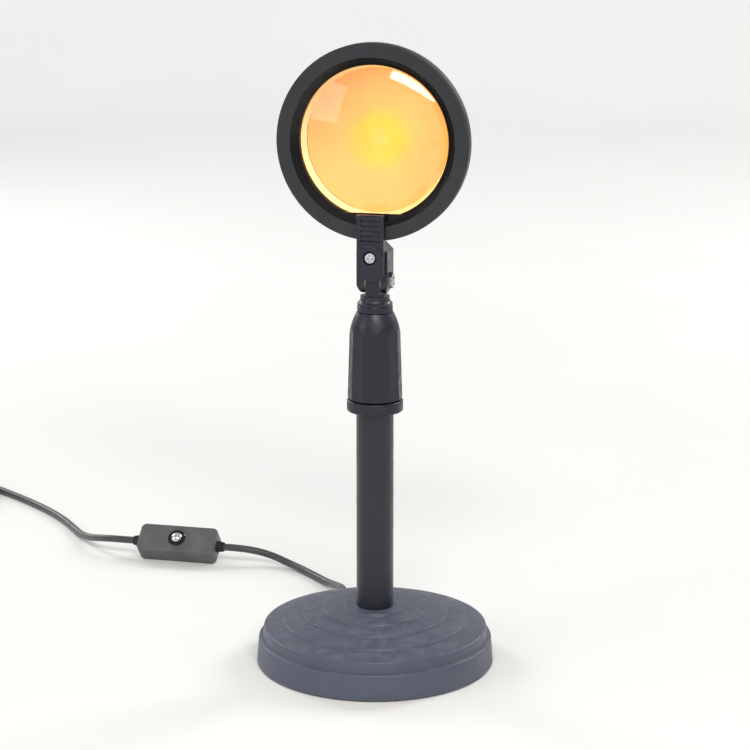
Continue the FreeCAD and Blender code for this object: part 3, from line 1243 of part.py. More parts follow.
def make_cord(behind):
    """The cord's free stretches, from the base to the switch, to the coil and on to the plug."""
    radius = value("cord_radius")
    out = behind.multVec(Vector(0, 1, 0))
    start = out * value("relief_reach") + Vector(0, 0, value("exit_height"))
    end_x = value("switch_end") + value("switch_bush_length")
    middle = Vector(value("switch_x"), value("switch_y"), value("switch_z"))
    right, left = middle + Vector(end_x, 0, 0), middle - Vector(end_x, 0, 0)
    run = Vector(value("switch_run"), 0, 0)
    straight = value("cord_start")
    first = [start, start + out * straight] + [Vector(*p) for p in TO_SWITCH] + [right + run, right]
    total = along_route("cord_to_switch", first, radius)
    entry, way_in, leave, way_out = coil_ends()
    second = [left, left - run] + [Vector(*p) for p in AFTER_SWITCH] + [entry - way_in * straight, entry]
    total += along_route("cord_after_switch", second, radius)
    total += make_coil()
    side = Vector(0, 0, 1).cross(way_out)
    up = Vector(0, 0, 1)
    tail = [leave] + [leave - side * a + way_out * b + up * c for a, b, c in TAIL_STEPS]
    tail.append(tail[-1] + way_out * straight)
    total += along_route("plug_tail", tail, radius)
    print(f"cord: {total + 2 * end_x:.0f} mm from the base to the plug")
    return tail[-1], way_out


def make_plug(entry, way):
    """The plug at the cord's far end: grip, metal shell and contact tongue."""
    heading = Rotation(Vector(1, 0, 0), way)
    spot = (f"{entry.x}", f"{entry.y}", f"{entry.z}")
    grip = Piece("plug_grip")
    half_width, half_height = "plug_grip_width / 2", "plug_grip_height / 2"
    outline = [
        ("0", "-plug_grip_width * 0.22"), ("plug_grip_length * 0.3", f"-{half_width}"), ("plug_grip_length", f"-{half_width}"),
        ("plug_grip_length", half_width), ("plug_grip_length * 0.3", half_width), ("0", "plug_grip_width * 0.22"),
    ]
    grip.pad("XY_Plane", [outline], "plug_grip_height", both=True)
    grip.soften(level_at(half_height), "1.1")
    grip.soften(level_at(f"-{half_height}"), "1.1")
    grip.place(*spot, heading)
    shell = Piece("plug_shell")
    wide, tall, wall = "plug_shell_width / 2", "plug_shell_height / 2", "plug_shell_wall"
    shell.pad("YZ_Plane", [box_corners(f"-{wide}", wide, f"-{tall}", tall)], "plug_shell_length", lift="plug_grip_length")
    shell.pocket("YZ_Plane", [box_corners(f"-{wide} + {wall}", f"{wide} - {wall}", f"-{tall} + {wall}", f"{tall} - {wall}")],
                 "plug_shell_length - 1", lift="plug_grip_length + plug_shell_length")
    windows = [box_corners("plug_grip_length + 5", "plug_grip_length + 7.5", f"{side}1.8", f"{side}4.2") for side in ("", "-")]
    shell.pocket("XY_Plane", windows, "plug_shell_height + 2", lift=f"{tall} + 1")
    shell.place(*spot, heading)
    tongue = Piece("plug_tongue")
    inner_half, floor = f"{wide} - {wall} - face_gap", f"-{tall} + {wall} + face_gap"
    tongue.pad("YZ_Plane", [box_corners(f"-({inner_half})", inner_half, floor, f"{floor} + 1.8")],
               "plug_shell_length - 2.3", lift="plug_grip_length + 1")
    tongue.place(*spot, heading)


# ---------------------------------------------------------------- switch


def in_switch(piece):
    """Puts a piece of the switch, drawn about the casing's middle, where the switch lies."""
    return piece.place("switch_x", "switch_y", "switch_z", Rotation(Vector(1, 0, 0), value("switch_roll")))


def casing_half(label, low, high, outer_height, inner_low, inner_high):
    """One shell of the switch casing: a rounded box, open at the split."""
    shell = Piece(label)
    x, y = "switch_length / 2", "switch_width / 2"
    shell.pad("XY_Plane", [box_corners(f"-{x}", x, f"-{y}", y)], f"{high} - ({low})", lift=low)
    shell.soften(upright, "switch_corner")
    shell.soften(level_at(outer_height), "switch_edge")
    inside = box_corners(f"-{x} + switch_wall", f"{x} - switch_wall", f"-{y} + switch_wall", f"{y} - switch_wall")
    shell.pocket("XY_Plane", [inside], f"({inner_high}) - ({inner_low})", lift=inner_high)
    return shell


def make_switch():
    """The push switch in the cord."""
    half, wall, split = "switch_half", "switch_wall", "switch_split"
    posts = [(f"{side}switch_screw_spacing / 2", "0", "switch_post_radius") for side in ("", "-")]
    holes = [(f"{side}switch_screw_spacing / 2", "0", "head_screw_radius + face_gap") for side in ("", "-")]
    sinks = [(f"{side}switch_screw_spacing / 2", "0", "head_screw_head + face_gap") for side in ("", "-")]
    upper = casing_half("switch_upper", split, half, half, split, f"{half} - {wall}")
    upper.pocket("XY_Plane", [("0", "0", "button_skirt_radius + seat_gap")], f"{wall} + 1", lift=f"{half} + 0.5")
    upper.pad("XY_Plane", posts, f"{half} - {wall} / 2 - ({split})", lift=split)
    upper.pocket("XY_Plane", holes, "4", lift=split, flip=True)
    in_switch(upper)

    lower = casing_half("switch_lower", f"-{half}", split, f"-{half}", f"-{half} + {wall}", split)
    lower.pad("XY_Plane", posts, f"{split} + {half} - {wall} / 2", lift=f"-{half} + {wall} / 2")
    lower.pocket("XY_Plane", holes, "switch_lower_height + 1", lift=f"{split} + 0.5")
    lower.pocket("XY_Plane", sinks, "1.8", lift=f"-{half}", flip=True)
    in_switch(lower)

    lean = value("switch_roll")
    pair, bushes = [], []
    for k, side in enumerate(("", "-")):
        one = screw(f"switch_screw_{k + 1}", "head_screw_radius", "5.5", "head_screw_head", "head_screw_head_height",
                    node=False)
        drop = f"({half} - 1.8)"
        one.place(f"switch_x + {side}switch_screw_spacing / 2", f"switch_y + {drop} * sin(switch_roll)",
                  f"switch_z - {drop} * cos(switch_roll)", Rotation(Vector(1, 0, 0), 180 + lean))
        pair.append(one)
        bush = turned(f"switch_bush_{k + 1}", [
            ("0", "switch_end"), ("switch_bush_radius", "switch_end"),
            ("switch_bush_tip", "switch_end + switch_bush_length"), ("0", "switch_end + switch_bush_length"),
        ], node=False)
        bush.place("switch_x", "switch_y", "switch_z", Rotation(Vector(0, 1, 0), 90 if not side else -90))
        bushes.append(bush)
    group("switch_screws", pair)
    group("switch_bushes", bushes)

    core = Piece("switch_core")
    core.pad("XY_Plane", [box_corners("-7", "7", "-5", "5")], "core_top - (core_bottom)", lift="core_bottom")
    in_switch(core)
    in_switch(washer("button_spring", "spring_radius - spring_wall", "spring_radius", "core_top", "button_flange_bottom"))
    in_switch(turned("button_ring", [
        ("button_radius + running_gap", "button_seat"), ("button_skirt_radius", "button_seat"),
        ("button_skirt_radius", half), ("button_ring_radius", half), ("button_ring_radius", f"{half} + button_ring_height * 0.6"),
        ("button_ring_radius - 0.5", f"{half} + button_ring_height"),
        ("button_radius + running_gap", f"{half} + button_ring_height"),
    ]))
    edge = f"({half} + button_rise)"
    in_switch(turned("switch_button", [
        ("0", "button_flange_bottom"), ("button_flange_radius", "button_flange_bottom"),
        ("button_flange_radius", "button_flange_top"), ("button_radius", "button_flange_top"),
        cap("button_radius", edge, "button_dome"), ("0", f"{edge} + button_dome"),
    ]))


def check_and_write():
    """Stops at a failed object or a bad solid, and otherwise writes each node's STEP file."""
    DOC.recompute()
    for item in DOC.Objects:
        if "Invalid" in item.State or "Error" in item.State:
            raise ValueError(f"{item.Label} failed: {item.State}")
    os.makedirs("parts", exist_ok=True)
    for node in NODES:
        shape = node.Shape
        if shape.isNull() or not shape.isValid() or not shape.Solids:
            raise ValueError(f"{node.Label} has no valid solid")
        shape.exportStep(f"parts/{node.Label}.step")
    print(f"{len(NODES)} nodes, {sum(len(node.Shape.Solids) for node in NODES)} solids")


def main():
    behind = Rotation(Vector(0, 0, 1), value("exit_angle"))
    make_base(behind)
    make_strain_relief(behind)
    make_post()
    make_lock_sleeve()
    make_mast()
    make_neck()
    make_knuckle()
    make_arm()
    make_bezel()
    make_housing()
    make_optics()
    make_leads(behind)
    entry, way = make_cord(behind)
    make_plug(entry, way)
    make_tie()
    make_switch()
    check_and_write()


main()
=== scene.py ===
"""Dresses the sunset projection lamp.

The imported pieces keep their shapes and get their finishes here. The cord, its strain relief, the plug's
grip, the button's spring and the lead to the head are built here in place of their plain solids.
"""

import json
import logging
import math
from dataclasses import dataclass, field
from enum import Enum

import bpy
import numpy as np
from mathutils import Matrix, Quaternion, Vector

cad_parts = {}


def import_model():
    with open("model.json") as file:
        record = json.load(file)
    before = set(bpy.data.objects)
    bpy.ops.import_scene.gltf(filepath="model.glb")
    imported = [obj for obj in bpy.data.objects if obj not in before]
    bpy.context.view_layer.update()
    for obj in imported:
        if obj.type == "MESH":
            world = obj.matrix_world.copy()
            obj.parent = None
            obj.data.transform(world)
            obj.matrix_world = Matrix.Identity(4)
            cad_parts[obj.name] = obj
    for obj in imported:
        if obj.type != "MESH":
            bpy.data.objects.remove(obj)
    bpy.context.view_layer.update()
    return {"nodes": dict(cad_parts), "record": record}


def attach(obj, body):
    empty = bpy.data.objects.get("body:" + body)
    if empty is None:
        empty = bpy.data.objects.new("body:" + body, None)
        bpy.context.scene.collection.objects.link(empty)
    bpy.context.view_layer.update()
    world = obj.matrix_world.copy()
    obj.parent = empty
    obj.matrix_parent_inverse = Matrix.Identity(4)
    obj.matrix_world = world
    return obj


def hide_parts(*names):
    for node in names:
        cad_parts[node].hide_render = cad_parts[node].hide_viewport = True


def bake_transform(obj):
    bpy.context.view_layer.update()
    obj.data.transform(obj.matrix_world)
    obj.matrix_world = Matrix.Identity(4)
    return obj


LOG = logging.getLogger("sunset_lamp")
MM = 0.001
Tree = bpy.types.NodeTree
Node = bpy.types.Node
Socket = bpy.types.NodeSocket
Piece = bpy.types.Object
Value = Socket | float | tuple[float, ...]
Sockets = dict[str | int, object]


# ------------------------------------------------------------------ nodes

# Nearly all of a noise's values lie between these two.
NOISE_LOW, NOISE_HIGH = 0.3, 0.7
# A surface counts as edge from the first of these to the second: 1 less the cosine at its rounded normal.
EDGE_LOW, EDGE_HIGH = 0.02, 0.22
EDGE_SAMPLES = 4

def linear(code: str) -> tuple[float, float, float, float]:
    """Turns an sRGB hex value to linear light.

    Args:
        code: The colour as #RRGGBB.

    Returns:
        Red, green, blue and an alpha of 1.
    """
    parts = [int(code[k : k + 2], 16) / 255 for k in (1, 3, 5)]
    red, green, blue = (c / 12.92 if c <= 0.04045 else ((c + 0.055) / 1.055) ** 2.4 for c in parts)
    return red, green, blue, 1.0


def add_node(
    tree: Tree, kind: str, settings: Sockets | None = None, links: Sockets | None = None, **properties: object
) -> Node:
    """Adds a node with its settings and links.

    Args:
        tree: The material's node tree.
        kind: The node's type, without its leading "ShaderNode".
        settings: Values for its sockets, by name or number.
        links: Sources for its sockets, by name or number.
        **properties: The node's own options.

    Returns:
        The new node.
    """
    node = tree.nodes.new(f"ShaderNode{kind}")
    for name, setting in properties.items():
        setattr(node, name, setting)
    for name, setting in (settings or {}).items():
        node.inputs[name].default_value = setting
    for name, source in (links or {}).items():
        tree.links.new(source, node.inputs[name])
    return node


def apart(given: dict[int, Value]) -> tuple[Sockets, Sockets]:
    """Parts a node's inputs into values to set and sockets to link."""
    links = {number: value for number, value in given.items() if isinstance(value, Socket)}
    settings = {number: value for number, value in given.items() if number not in links}
    return settings, links


def mixed(tree: Tree, share: Value, first: Value, second: Value, blend: str = "MIX") -> Socket:
    """Mixes two colours.

    Args:
        tree: The material's node tree.
        share: A socket or a number from 0 to 1.
        first: A socket or a linear colour.
        second: A socket or a linear colour.
        blend: How the second colour goes over the first.

    Returns:
        The mixed colour's socket.
    """
    node = add_node(tree, "Mix", *apart({0: share, 6: first, 7: second}), data_type="RGBA", blend_type=blend)
    return node.outputs[2]


def ramped(
    tree: Tree, source: Socket, low: float, high: float, bottom: float = 0.0, top: float = 1.0
) -> Socket:
    """Maps a value from one range to another, smoothly and within its ends.

    Args:
        tree: The material's node tree.
        source: The value's socket.
        low: The value that gives the bottom.
        high: The value that gives the top.
        bottom: The result at the low value.
        top: The result at the high value.

    Returns:
        The result's socket.
    """
    settings = {"From Min": low, "From Max": high, "To Min": bottom, "To Max": top}
    return add_node(tree, "MapRange", settings, {"Value": source}, interpolation_type="SMOOTHSTEP").outputs[0]


def math_of(tree: Tree, operation: str, first: Value, second: Value) -> Socket:
    """Works out one sum of two values."""
    return add_node(tree, "Math", *apart({0: first, 1: second}), operation=operation).outputs[0]


def times(tree: Tree, first: Value, *others: Value) -> Socket:
    """Multiplies values, each a socket or a number."""
    for other in others:
        first = math_of(tree, "MULTIPLY", first, other)
    return first


def noise(tree: Tree, place: Socket, grain_mm: float, detail: float = 2.0) -> Socket:
    """Noise whose grains are of a real size.

    Args:
        tree: The material's node tree.
        place: The socket of the coordinates.
        grain_mm: About how wide one grain is.
        detail: How many finer layers it has.

    Returns:
        The noise value's socket.
    """
    settings = {"Scale": 1 / (grain_mm * MM), "Detail": detail}
    return add_node(tree, "TexNoise", settings, {"Vector": place}).outputs[0]


def rings(tree: Tree, distance: Socket, ring_mm: float, detail: float) -> Socket:
    """Noise in rings, which varies with the distance from an axis alone."""
    settings = {"Scale": 1 / (ring_mm * MM), "Detail": detail}
    return add_node(tree, "TexNoise", settings, {"W": distance}, noise_dimensions="1D").outputs[0]


def clouded(tree: Tree, place: Socket, grain_mm: float, detail: float, bottom: float, top: float) -> Socket:
    """Noise spread over a range of values."""
    return ramped(tree, noise(tree, place, grain_mm, detail), NOISE_LOW, NOISE_HIGH, bottom, top)


def tinted(tree: Tree, colour: Value, factor: Socket) -> Socket:
    """Darkens or lightens a colour by a factor."""
    shade = add_node(tree, "CombineColor", {}, {0: factor, 1: factor, 2: factor}).outputs[0]
    return mixed(tree, 1.0, colour, shade, "MULTIPLY")


class Turn(Enum):
    """The axis that a turned piece is round, as the factors that flatten a point onto its plane."""

    UPRIGHT = (1.0, 1.0, 0.0)
    FORWARD = (1.0, 0.0, 1.0)


def radius_from(tree: Tree, place: Socket, centre: Vector, turn: Turn) -> Socket:
    """The distance from an axis through a centre."""
    moved = add_node(tree, "VectorMath", {1: centre}, {0: place}, operation="SUBTRACT").outputs[0]
    flat = add_node(tree, "VectorMath", {1: turn.value}, {0: moved}, operation="MULTIPLY").outputs[0]
    return add_node(tree, "VectorMath", {}, {0: flat}, operation="LENGTH").outputs[1]


def edge_share(tree: Tree, radius_mm: float) -> Socket:
    """How near a point is to a sharp edge: 1 less the cosine between the true and a rounded normal."""
    soft = add_node(tree, "Bevel", {"Radius": radius_mm * MM}, samples=EDGE_SAMPLES).outputs[0]
    true = add_node(tree, "NewGeometry").outputs["Normal"]
    cosine = add_node(tree, "VectorMath", {}, {0: soft, 1: true}, operation="DOT_PRODUCT").outputs[1]
    return ramped(tree, math_of(tree, "SUBTRACT", 1.0, cosine), EDGE_LOW, EDGE_HIGH)


# ------------------------------------------------------------------ finishes

LENS_AXIS = Vector((0.0, 0.0, 255.5 * MM))


@dataclass(frozen=True)
class Finish:
    """A finish: a name, a main colour, and how its nodes are laid out on a Principled shader."""

    name: str
    code: str
    roughness: float = 0.5

    def dress(self, tree: Tree, shader: Node, place: Socket) -> None:
        """Lays out the nodes of this finish.

        Args:
            tree: The material's node tree.
            shader: Its Principled shader.
            place: The socket of the object's own coordinates.
        """
        raise NotImplementedError

    def material(self) -> bpy.types.Material:
        """The finish as a material, made once."""
        found = bpy.data.materials.get(self.name)
        if found is not None:
            return found
        made = bpy.data.materials.new(self.name)
        made.use_nodes = True
        tree = made.node_tree
        shader = tree.nodes["Principled BSDF"]
        shader.inputs["Base Color"].default_value = linear(self.code)
        shader.inputs["Roughness"].default_value = self.roughness
        self.dress(tree, shader, add_node(tree, "TexCoord").outputs["Object"])
        made.diffuse_color = linear(self.code)
        return made


def link(tree: Tree, source: Socket, shader: Node, name: str) -> None:
    """Leads a socket to one of the shader's own."""
    tree.links.new(source, shader.inputs[name])


def raised(tree: Tree, shader: Node, height: Socket, depth_mm: float, strength: float = 1.0) -> None:
    """Gives the surface a relief of a real depth."""
    bump = add_node(tree, "Bump", {"Strength": strength, "Distance": depth_mm * MM}, {"Height": height})
    link(tree, bump.outputs[0], shader, "Normal")


@dataclass(frozen=True)
class Lacquer(Finish):
    """Sprayed lacquer: orange peel in the film, edges paled by scuffing and painted highlight, a little dust
    on what faces up.
    """

    # Colour of the paler edges: partly scuffed paint, partly a painted edge highlight.
    worn_edge_and_highlight: str = "#8A8E9A"
    dusty: str = "#A9A9A8"
    peel_mm: float = 0.9
    peel_depth_mm: float = 0.012
    edge_mm: float = 0.5
    wear_and_highlight_share: float = 0.5
    dust: float = 0.12
    coat: float = 0.0
    coat_roughness: float = 0.25
    cloud_mm: float = 14.0
    patch_mm: float = 2.2
    dust_mm: float = 5.0
    smear_mm: float = 7.0
    smear: float = 0.07
    dust_dulls: float = 0.6

    def dress(self, tree: Tree, shader: Node, place: Socket) -> None:
        """Clouds the colour, pales the edges by scuffing and painted highlight, dusts the top and adds the
        peel.
        """
        colour = tinted(tree, linear(self.code), clouded(tree, place, self.cloud_mm, 4.0, 0.93, 1.05))
        patches = ramped(tree, noise(tree, place, self.patch_mm, 3.0), 0.35, 0.65)
        # Painted edge highlight together with scuffing: the edges are paled towards the lighter edge colour.
        scuffed_and_highlit = times(tree, edge_share(tree, self.edge_mm), patches, self.wear_and_highlight_share)
        colour = mixed(tree, scuffed_and_highlit, colour, linear(self.worn_edge_and_highlight))
        normal = add_node(tree, "NewGeometry").outputs["Normal"]
        upward = ramped(tree, add_node(tree, "SeparateXYZ", {}, {0: normal}).outputs[2], 0.6, 1.0)
        specks = ramped(tree, noise(tree, place, self.dust_mm, 5.0), 0.4, 0.7)
        lying = times(tree, upward, specks, self.dust)
        link(tree, mixed(tree, lying, colour, linear(self.dusty)), shader, "Base Color")
        low, high = self.roughness - self.smear, self.roughness + self.smear
        smears = clouded(tree, place, self.smear_mm, 3.0, low, high)
        link(tree, math_of(tree, "ADD", smears, times(tree, lying, self.dust_dulls)), shader, "Roughness")
        raised(tree, shader, noise(tree, place, self.peel_mm), self.peel_depth_mm)
        shader.inputs["Coat Weight"].default_value = self.coat
        shader.inputs["Coat Roughness"].default_value = self.coat_roughness


@dataclass(frozen=True)
class Moulded(Finish):
    """Moulded plastic or rubber: a fine spark-eroded texture, polish on the edges that hands touch, and edges
    paled by scuffing and painted highlight.
    """

    grain_mm: float = 0.35
    grain_depth_mm: float = 0.02
    spread: float = 0.1
    # Colour of the paler edges: partly scuffing, partly a painted edge highlight.
    scuff_and_highlight: str = "#4A4C50"
    edge_mm: float = 0.35
    cloud_mm: float = 9.0
    smear_mm: float = 4.0
    scuffed_and_highlit: float = 0.45
    rub_polish: float = 0.25

    def dress(self, tree: Tree, shader: Node, place: Socket) -> None:
        """Clouds the colour and the gloss, pales the edges by scuffing and painted highlight, polishes them
        and adds the grain.
        """
        colour = tinted(tree, linear(self.code), clouded(tree, place, self.cloud_mm, 4.0, 0.85, 1.12))
        # Painted edge highlight together with scuffing: the edges are paled towards the lighter edge colour.
        edges = times(tree, edge_share(tree, self.edge_mm), self.scuffed_and_highlit)
        link(tree, mixed(tree, edges, colour, linear(self.scuff_and_highlight)), shader, "Base Color")
        low, high = self.roughness - self.spread, self.roughness + self.spread
        gloss = clouded(tree, place, self.smear_mm, 3.0, high, low)
        polish = times(tree, edges, self.rub_polish)
        link(tree, math_of(tree, "SUBTRACT", gloss, polish), shader, "Roughness")
        raised(tree, shader, noise(tree, place, self.grain_mm, 3.0), self.grain_depth_mm)


@dataclass(frozen=True)
class TurnedMetal(Finish):
    """Bare or plated metal with the fine rings that turning leaves, drawn coarse enough to show."""

    centre: Vector = field(default_factory=Vector)
    turn: Turn = Turn.UPRIGHT
    ring_mm: float = 0.22
    ring_depth_mm: float = 0.004
    stain: str = "#6E6A64"
    stain_mm: float = 3.0
    stained: float = 0.35
    stain_dulls: float = 0.3

    def dress(self, tree: Tree, shader: Node, place: Socket) -> None:
        """Lays rings round the axis, and dulls the metal in patches."""
        shader.inputs["Metallic"].default_value = 1.0
        grooves = rings(tree, radius_from(tree, place, self.centre, self.turn), self.ring_mm, 2.0)
        dull = ramped(tree, noise(tree, place, self.stain_mm, 4.0), 0.45, 0.75, 0.0, self.stained)
        link(tree, mixed(tree, dull, linear(self.code), linear(self.stain)), shader, "Base Color")
        uneven = ramped(tree, grooves, NOISE_LOW, NOISE_HIGH, self.roughness - 0.06, self.roughness + 0.08)
        link(tree, math_of(tree, "ADD", uneven, times(tree, dull, self.stain_dulls)), shader, "Roughness")
        raised(tree, shader, grooves, self.ring_depth_mm)


@dataclass(frozen=True)
class RoughMetal(Finish):
    """Cast or blackened metal: pits and blotches of several sizes."""

    metallic: float = 1.0
    pit_mm: float = 0.8
    pit_depth_mm: float = 0.08
    blotch: str = "#3A322C"
    blotch_mm: float = 6.0
    spread: float = 0.1
    strength: float = 0.6

    def dress(self, tree: Tree, shader: Node, place: Socket) -> None:
        """Blotches the colour and pits the surface."""
        shader.inputs["Metallic"].default_value = self.metallic
        blotches = ramped(tree, noise(tree, place, self.blotch_mm, 5.0), 0.4, 0.65)
        link(tree, mixed(tree, blotches, linear(self.code), linear(self.blotch)), shader, "Base Color")
        cells = add_node(tree, "TexVoronoi", {"Scale": 1 / (self.pit_mm * MM)}, {"Vector": place})
        pits = cells.outputs["Distance"]
        dull = ramped(tree, pits, 0.0, 0.8, self.roughness - self.spread, self.roughness + self.spread)
        link(tree, dull, shader, "Roughness")
        raised(tree, shader, pits, self.pit_depth_mm, self.strength)


@dataclass(frozen=True)
class BezelFinish(Finish):
    """Satin grey anodised ring whose inner bevel is painted gloss black as painted shade. Anodising leaves
    fine turned rings.
    """

    # Painted shade: the near-black colour given to the inner bevel.
    bevel: str = "#08090B"
    bevel_radius_mm: float = 39.4
    # Colour of the paler edges: partly scuffing, partly a painted edge highlight.
    scuff_and_highlight: str = "#5E6268"
    scuffed_and_highlit: float = 0.55
    edge_mm: float = 0.6
    ring_mm: float = 0.3
    ring_depth_mm: float = 0.004
    bevel_polish: float = 0.14
    metallic: float = 0.35

    def dress(self, tree: Tree, shader: Node, place: Socket) -> None:
        """Splits the ring at the bevel's edge, whose painted shade is near black, and lays rings on its face.
        """
        distance = radius_from(tree, place, LENS_AXIS, Turn.FORWARD)
        outer, inner = (self.bevel_radius_mm + 0.02) * MM, (self.bevel_radius_mm - 0.08) * MM
        inside = ramped(tree, distance, outer, inner)
        grooves = rings(tree, distance, self.ring_mm, 1.0)
        face = tinted(tree, linear(self.code), clouded(tree, place, 11.0, 3.0, 0.9, 1.1))
        # Painted edge highlight together with scuffing: the face's edges are paled towards the lighter edge
        # colour.
        face = mixed(tree, times(tree, edge_share(tree, self.edge_mm), self.scuffed_and_highlit), face, linear(self.scuff_and_highlight))
        # Painted shade: the bevel side of the split takes the near-black colour.
        link(tree, mixed(tree, inside, face, linear(self.bevel)), shader, "Base Color")
        dull = ramped(tree, grooves, NOISE_LOW, NOISE_HIGH, self.roughness - 0.05, self.roughness + 0.07)
        polish = times(tree, inside, self.bevel_polish)
        link(tree, math_of(tree, "SUBTRACT", dull, polish), shader, "Roughness")
        shader.inputs["Metallic"].default_value = self.metallic
        raised(tree, shader, grooves, self.ring_depth_mm)


# How far the glow's rings reach from the lens axis, and over which stretch the painted shade and highlight
# grow towards each side.
GLOW_REACH_MM = 32.0
SIDE_FROM_MM, SIDE_TO_MM = -2.0, 36.0
UPPER_LEFT, LOWER_LEFT = (-0.8, 0.0, 0.6), (-0.6, 0.0, -0.8)


@dataclass(frozen=True)
class Glow:
    """Colours of the lit inside of the head, from its middle outwards, and of painted shade and a painted
    highlight at its sides.
    """

    stops: tuple[tuple[float, str], ...]
    shaded: str
    shade_share: float
    # Colour of the painted highlight towards the lower left.
    pale: str
    painted_highlight_share: float

    def colour(self, tree: Tree, place: Socket) -> Socket:
        """The glow's colour: rings about the lens axis, painted shade at the upper left, a painted highlight
        at the lower left.
        """
        distance = radius_from(tree, place, LENS_AXIS, Turn.FORWARD)
        ramp = add_node(tree, "ValToRGB", {}, {0: math_of(tree, "DIVIDE", distance, GLOW_REACH_MM * MM)})
        ramp.color_ramp.interpolation = "EASE"
        elements = ramp.color_ramp.elements
        while len(elements) < len(self.stops):
            elements.new(0.5)
        for element, (position, code) in zip(elements, self.stops):
            element.position = position
            element.color = linear(code)
        moved = add_node(tree, "VectorMath", {1: LENS_AXIS}, {0: place}, operation="SUBTRACT").outputs[0]
        colour = ramp.outputs[0]
        sides = ((self.shaded, self.shade_share, UPPER_LEFT), (self.pale, self.painted_highlight_share, LOWER_LEFT))
        for code, share, way in sides:
            along = add_node(tree, "VectorMath", {1: way}, {0: moved}, operation="DOT_PRODUCT").outputs[1]
            side = ramped(tree, along, SIDE_FROM_MM * MM, SIDE_TO_MM * MM, 0.0, share)
            colour = mixed(tree, side, colour, linear(code))
        return colour


# The filter's glow, with painted shade towards the upper left and a painted highlight towards the lower left.
FILTER_GLOW = Glow(
    (
        (0.0, "#FFE27A"), (0.22, "#FFD84C"), (0.5, "#FFC87C"),
        (0.78, "#FFBE78"), (0.93, "#F9AE5C"), (1.0, "#E9962E"),
    ),
    "#C98A62", 0.75, "#FFE3A0", 0.5,
)
# Painted reflection: the glow of the housing's inner wall, with painted shade towards the upper left and a
# painted highlight towards the lower left.
PAINTED_WALL_GLOW = Glow(
    ((0.0, "#FFD23C"), (0.9, "#FFCC2A"), (1.0, "#FFC81E"), (1.0, "#FFC81E")), "#A8703C", 0.85, "#FFF0C0", 0.8,
)


@dataclass(frozen=True)
class LitFilter(Finish):
    """Coated amber glass, lit from behind by the emitter."""

    glow: Glow = FILTER_GLOW
    strength: float = 0.95

    def dress(self, tree: Tree, shader: Node, place: Socket) -> None:
        """Lights the filter with the glow's colours, a little uneven as a dichroic coating is."""
        patchy = clouded(tree, place, 12.0, 2.0, 0.94, 1.04)
        # The glow's colours carry painted shade at the upper left and a painted highlight at the lower left.
        link(tree, tinted(tree, self.glow.colour(tree, place), patchy), shader, "Emission Color")
        shader.inputs["Emission Strength"].default_value = self.strength


@dataclass(frozen=True)
class HousingFinish(Finish):
    """Satin black lacquer outside, and inside a white wall lit by a painted reflection of the amber light."""

    mouth_mm: float = 35.9
    barrel_mm: float = 33.0
    seat_end_mm: float = 4.6
    taper_end_mm: float = 7.9
    filter_mm: float = 11.2
    wall: str = "#F2EFE6"
    # Colour of the paler outer edges: partly scuffing, partly a painted edge highlight.
    scuff_and_highlight: str = "#5A5D64"
    scuffed_and_highlit: float = 0.4
    edge_mm: float = 0.5
    # Strength of the painted glow on the inner wall.
    strength: float = 0.85
    smear: float = 0.07

    def dress(self, tree: Tree, shader: Node, place: Socket) -> None:
        """Paints a glow as the amber light's reflection on the wall's inner face between the lens and the
        filter; the outer face stays black.

        The split runs inside the wall, and its radius narrows with it from the lens's seat to the barrel.
        """
        distance = radius_from(tree, place, LENS_AXIS, Turn.FORWARD)
        depth = add_node(tree, "SeparateXYZ", {}, {0: place}).outputs[1]
        seat, taper = self.seat_end_mm * MM, self.taper_end_mm * MM
        split = ramped(tree, depth, seat, taper, self.mouth_mm * MM, self.barrel_mm * MM)
        within = math_of(tree, "LESS_THAN", distance, split)
        lit = times(tree, within, math_of(tree, "LESS_THAN", depth, self.filter_mm * MM))
        # Painted edge highlight together with scuffing: the outer edges are paled towards the lighter edge
        # colour.
        edges = times(tree, edge_share(tree, self.edge_mm), self.scuffed_and_highlit)
        outside = mixed(tree, edges, linear(self.code), linear(self.scuff_and_highlight))
        link(tree, mixed(tree, lit, outside, linear(self.wall)), shader, "Base Color")
        # Painted reflection: the inner wall glows with these colours though it is no lamp.
        colour = mixed(tree, 1.0, PAINTED_WALL_GLOW.colour(tree, place), lit, "MULTIPLY")
        link(tree, colour, shader, "Emission Color")
        shader.inputs["Emission Strength"].default_value = self.strength
        low, high = self.roughness - self.smear, self.roughness + self.smear
        link(tree, clouded(tree, place, 6.0, 3.0, low, high), shader, "Roughness")
        raised(tree, shader, noise(tree, place, 0.8), 0.01)


@dataclass(frozen=True)
class LensGlass(Finish):
    """Polished optical glass with a faint warm tint, a few specks of dust on it."""

    ior: float = 1.5

    def dress(self, tree: Tree, shader: Node, place: Socket) -> None:
        """Clear glass whose gloss is broken by sparse dust."""
        shader.inputs["Transmission Weight"].default_value = 1.0
        shader.inputs["IOR"].default_value = self.ior
        specks = ramped(tree, noise(tree, place, 0.6, 5.0), 0.66, 0.74, 0.0, 0.3)
        link(tree, math_of(tree, "ADD", specks, self.roughness), shader, "Roughness")
        raised(tree, shader, noise(tree, place, 9.0, 1.0), 0.004)


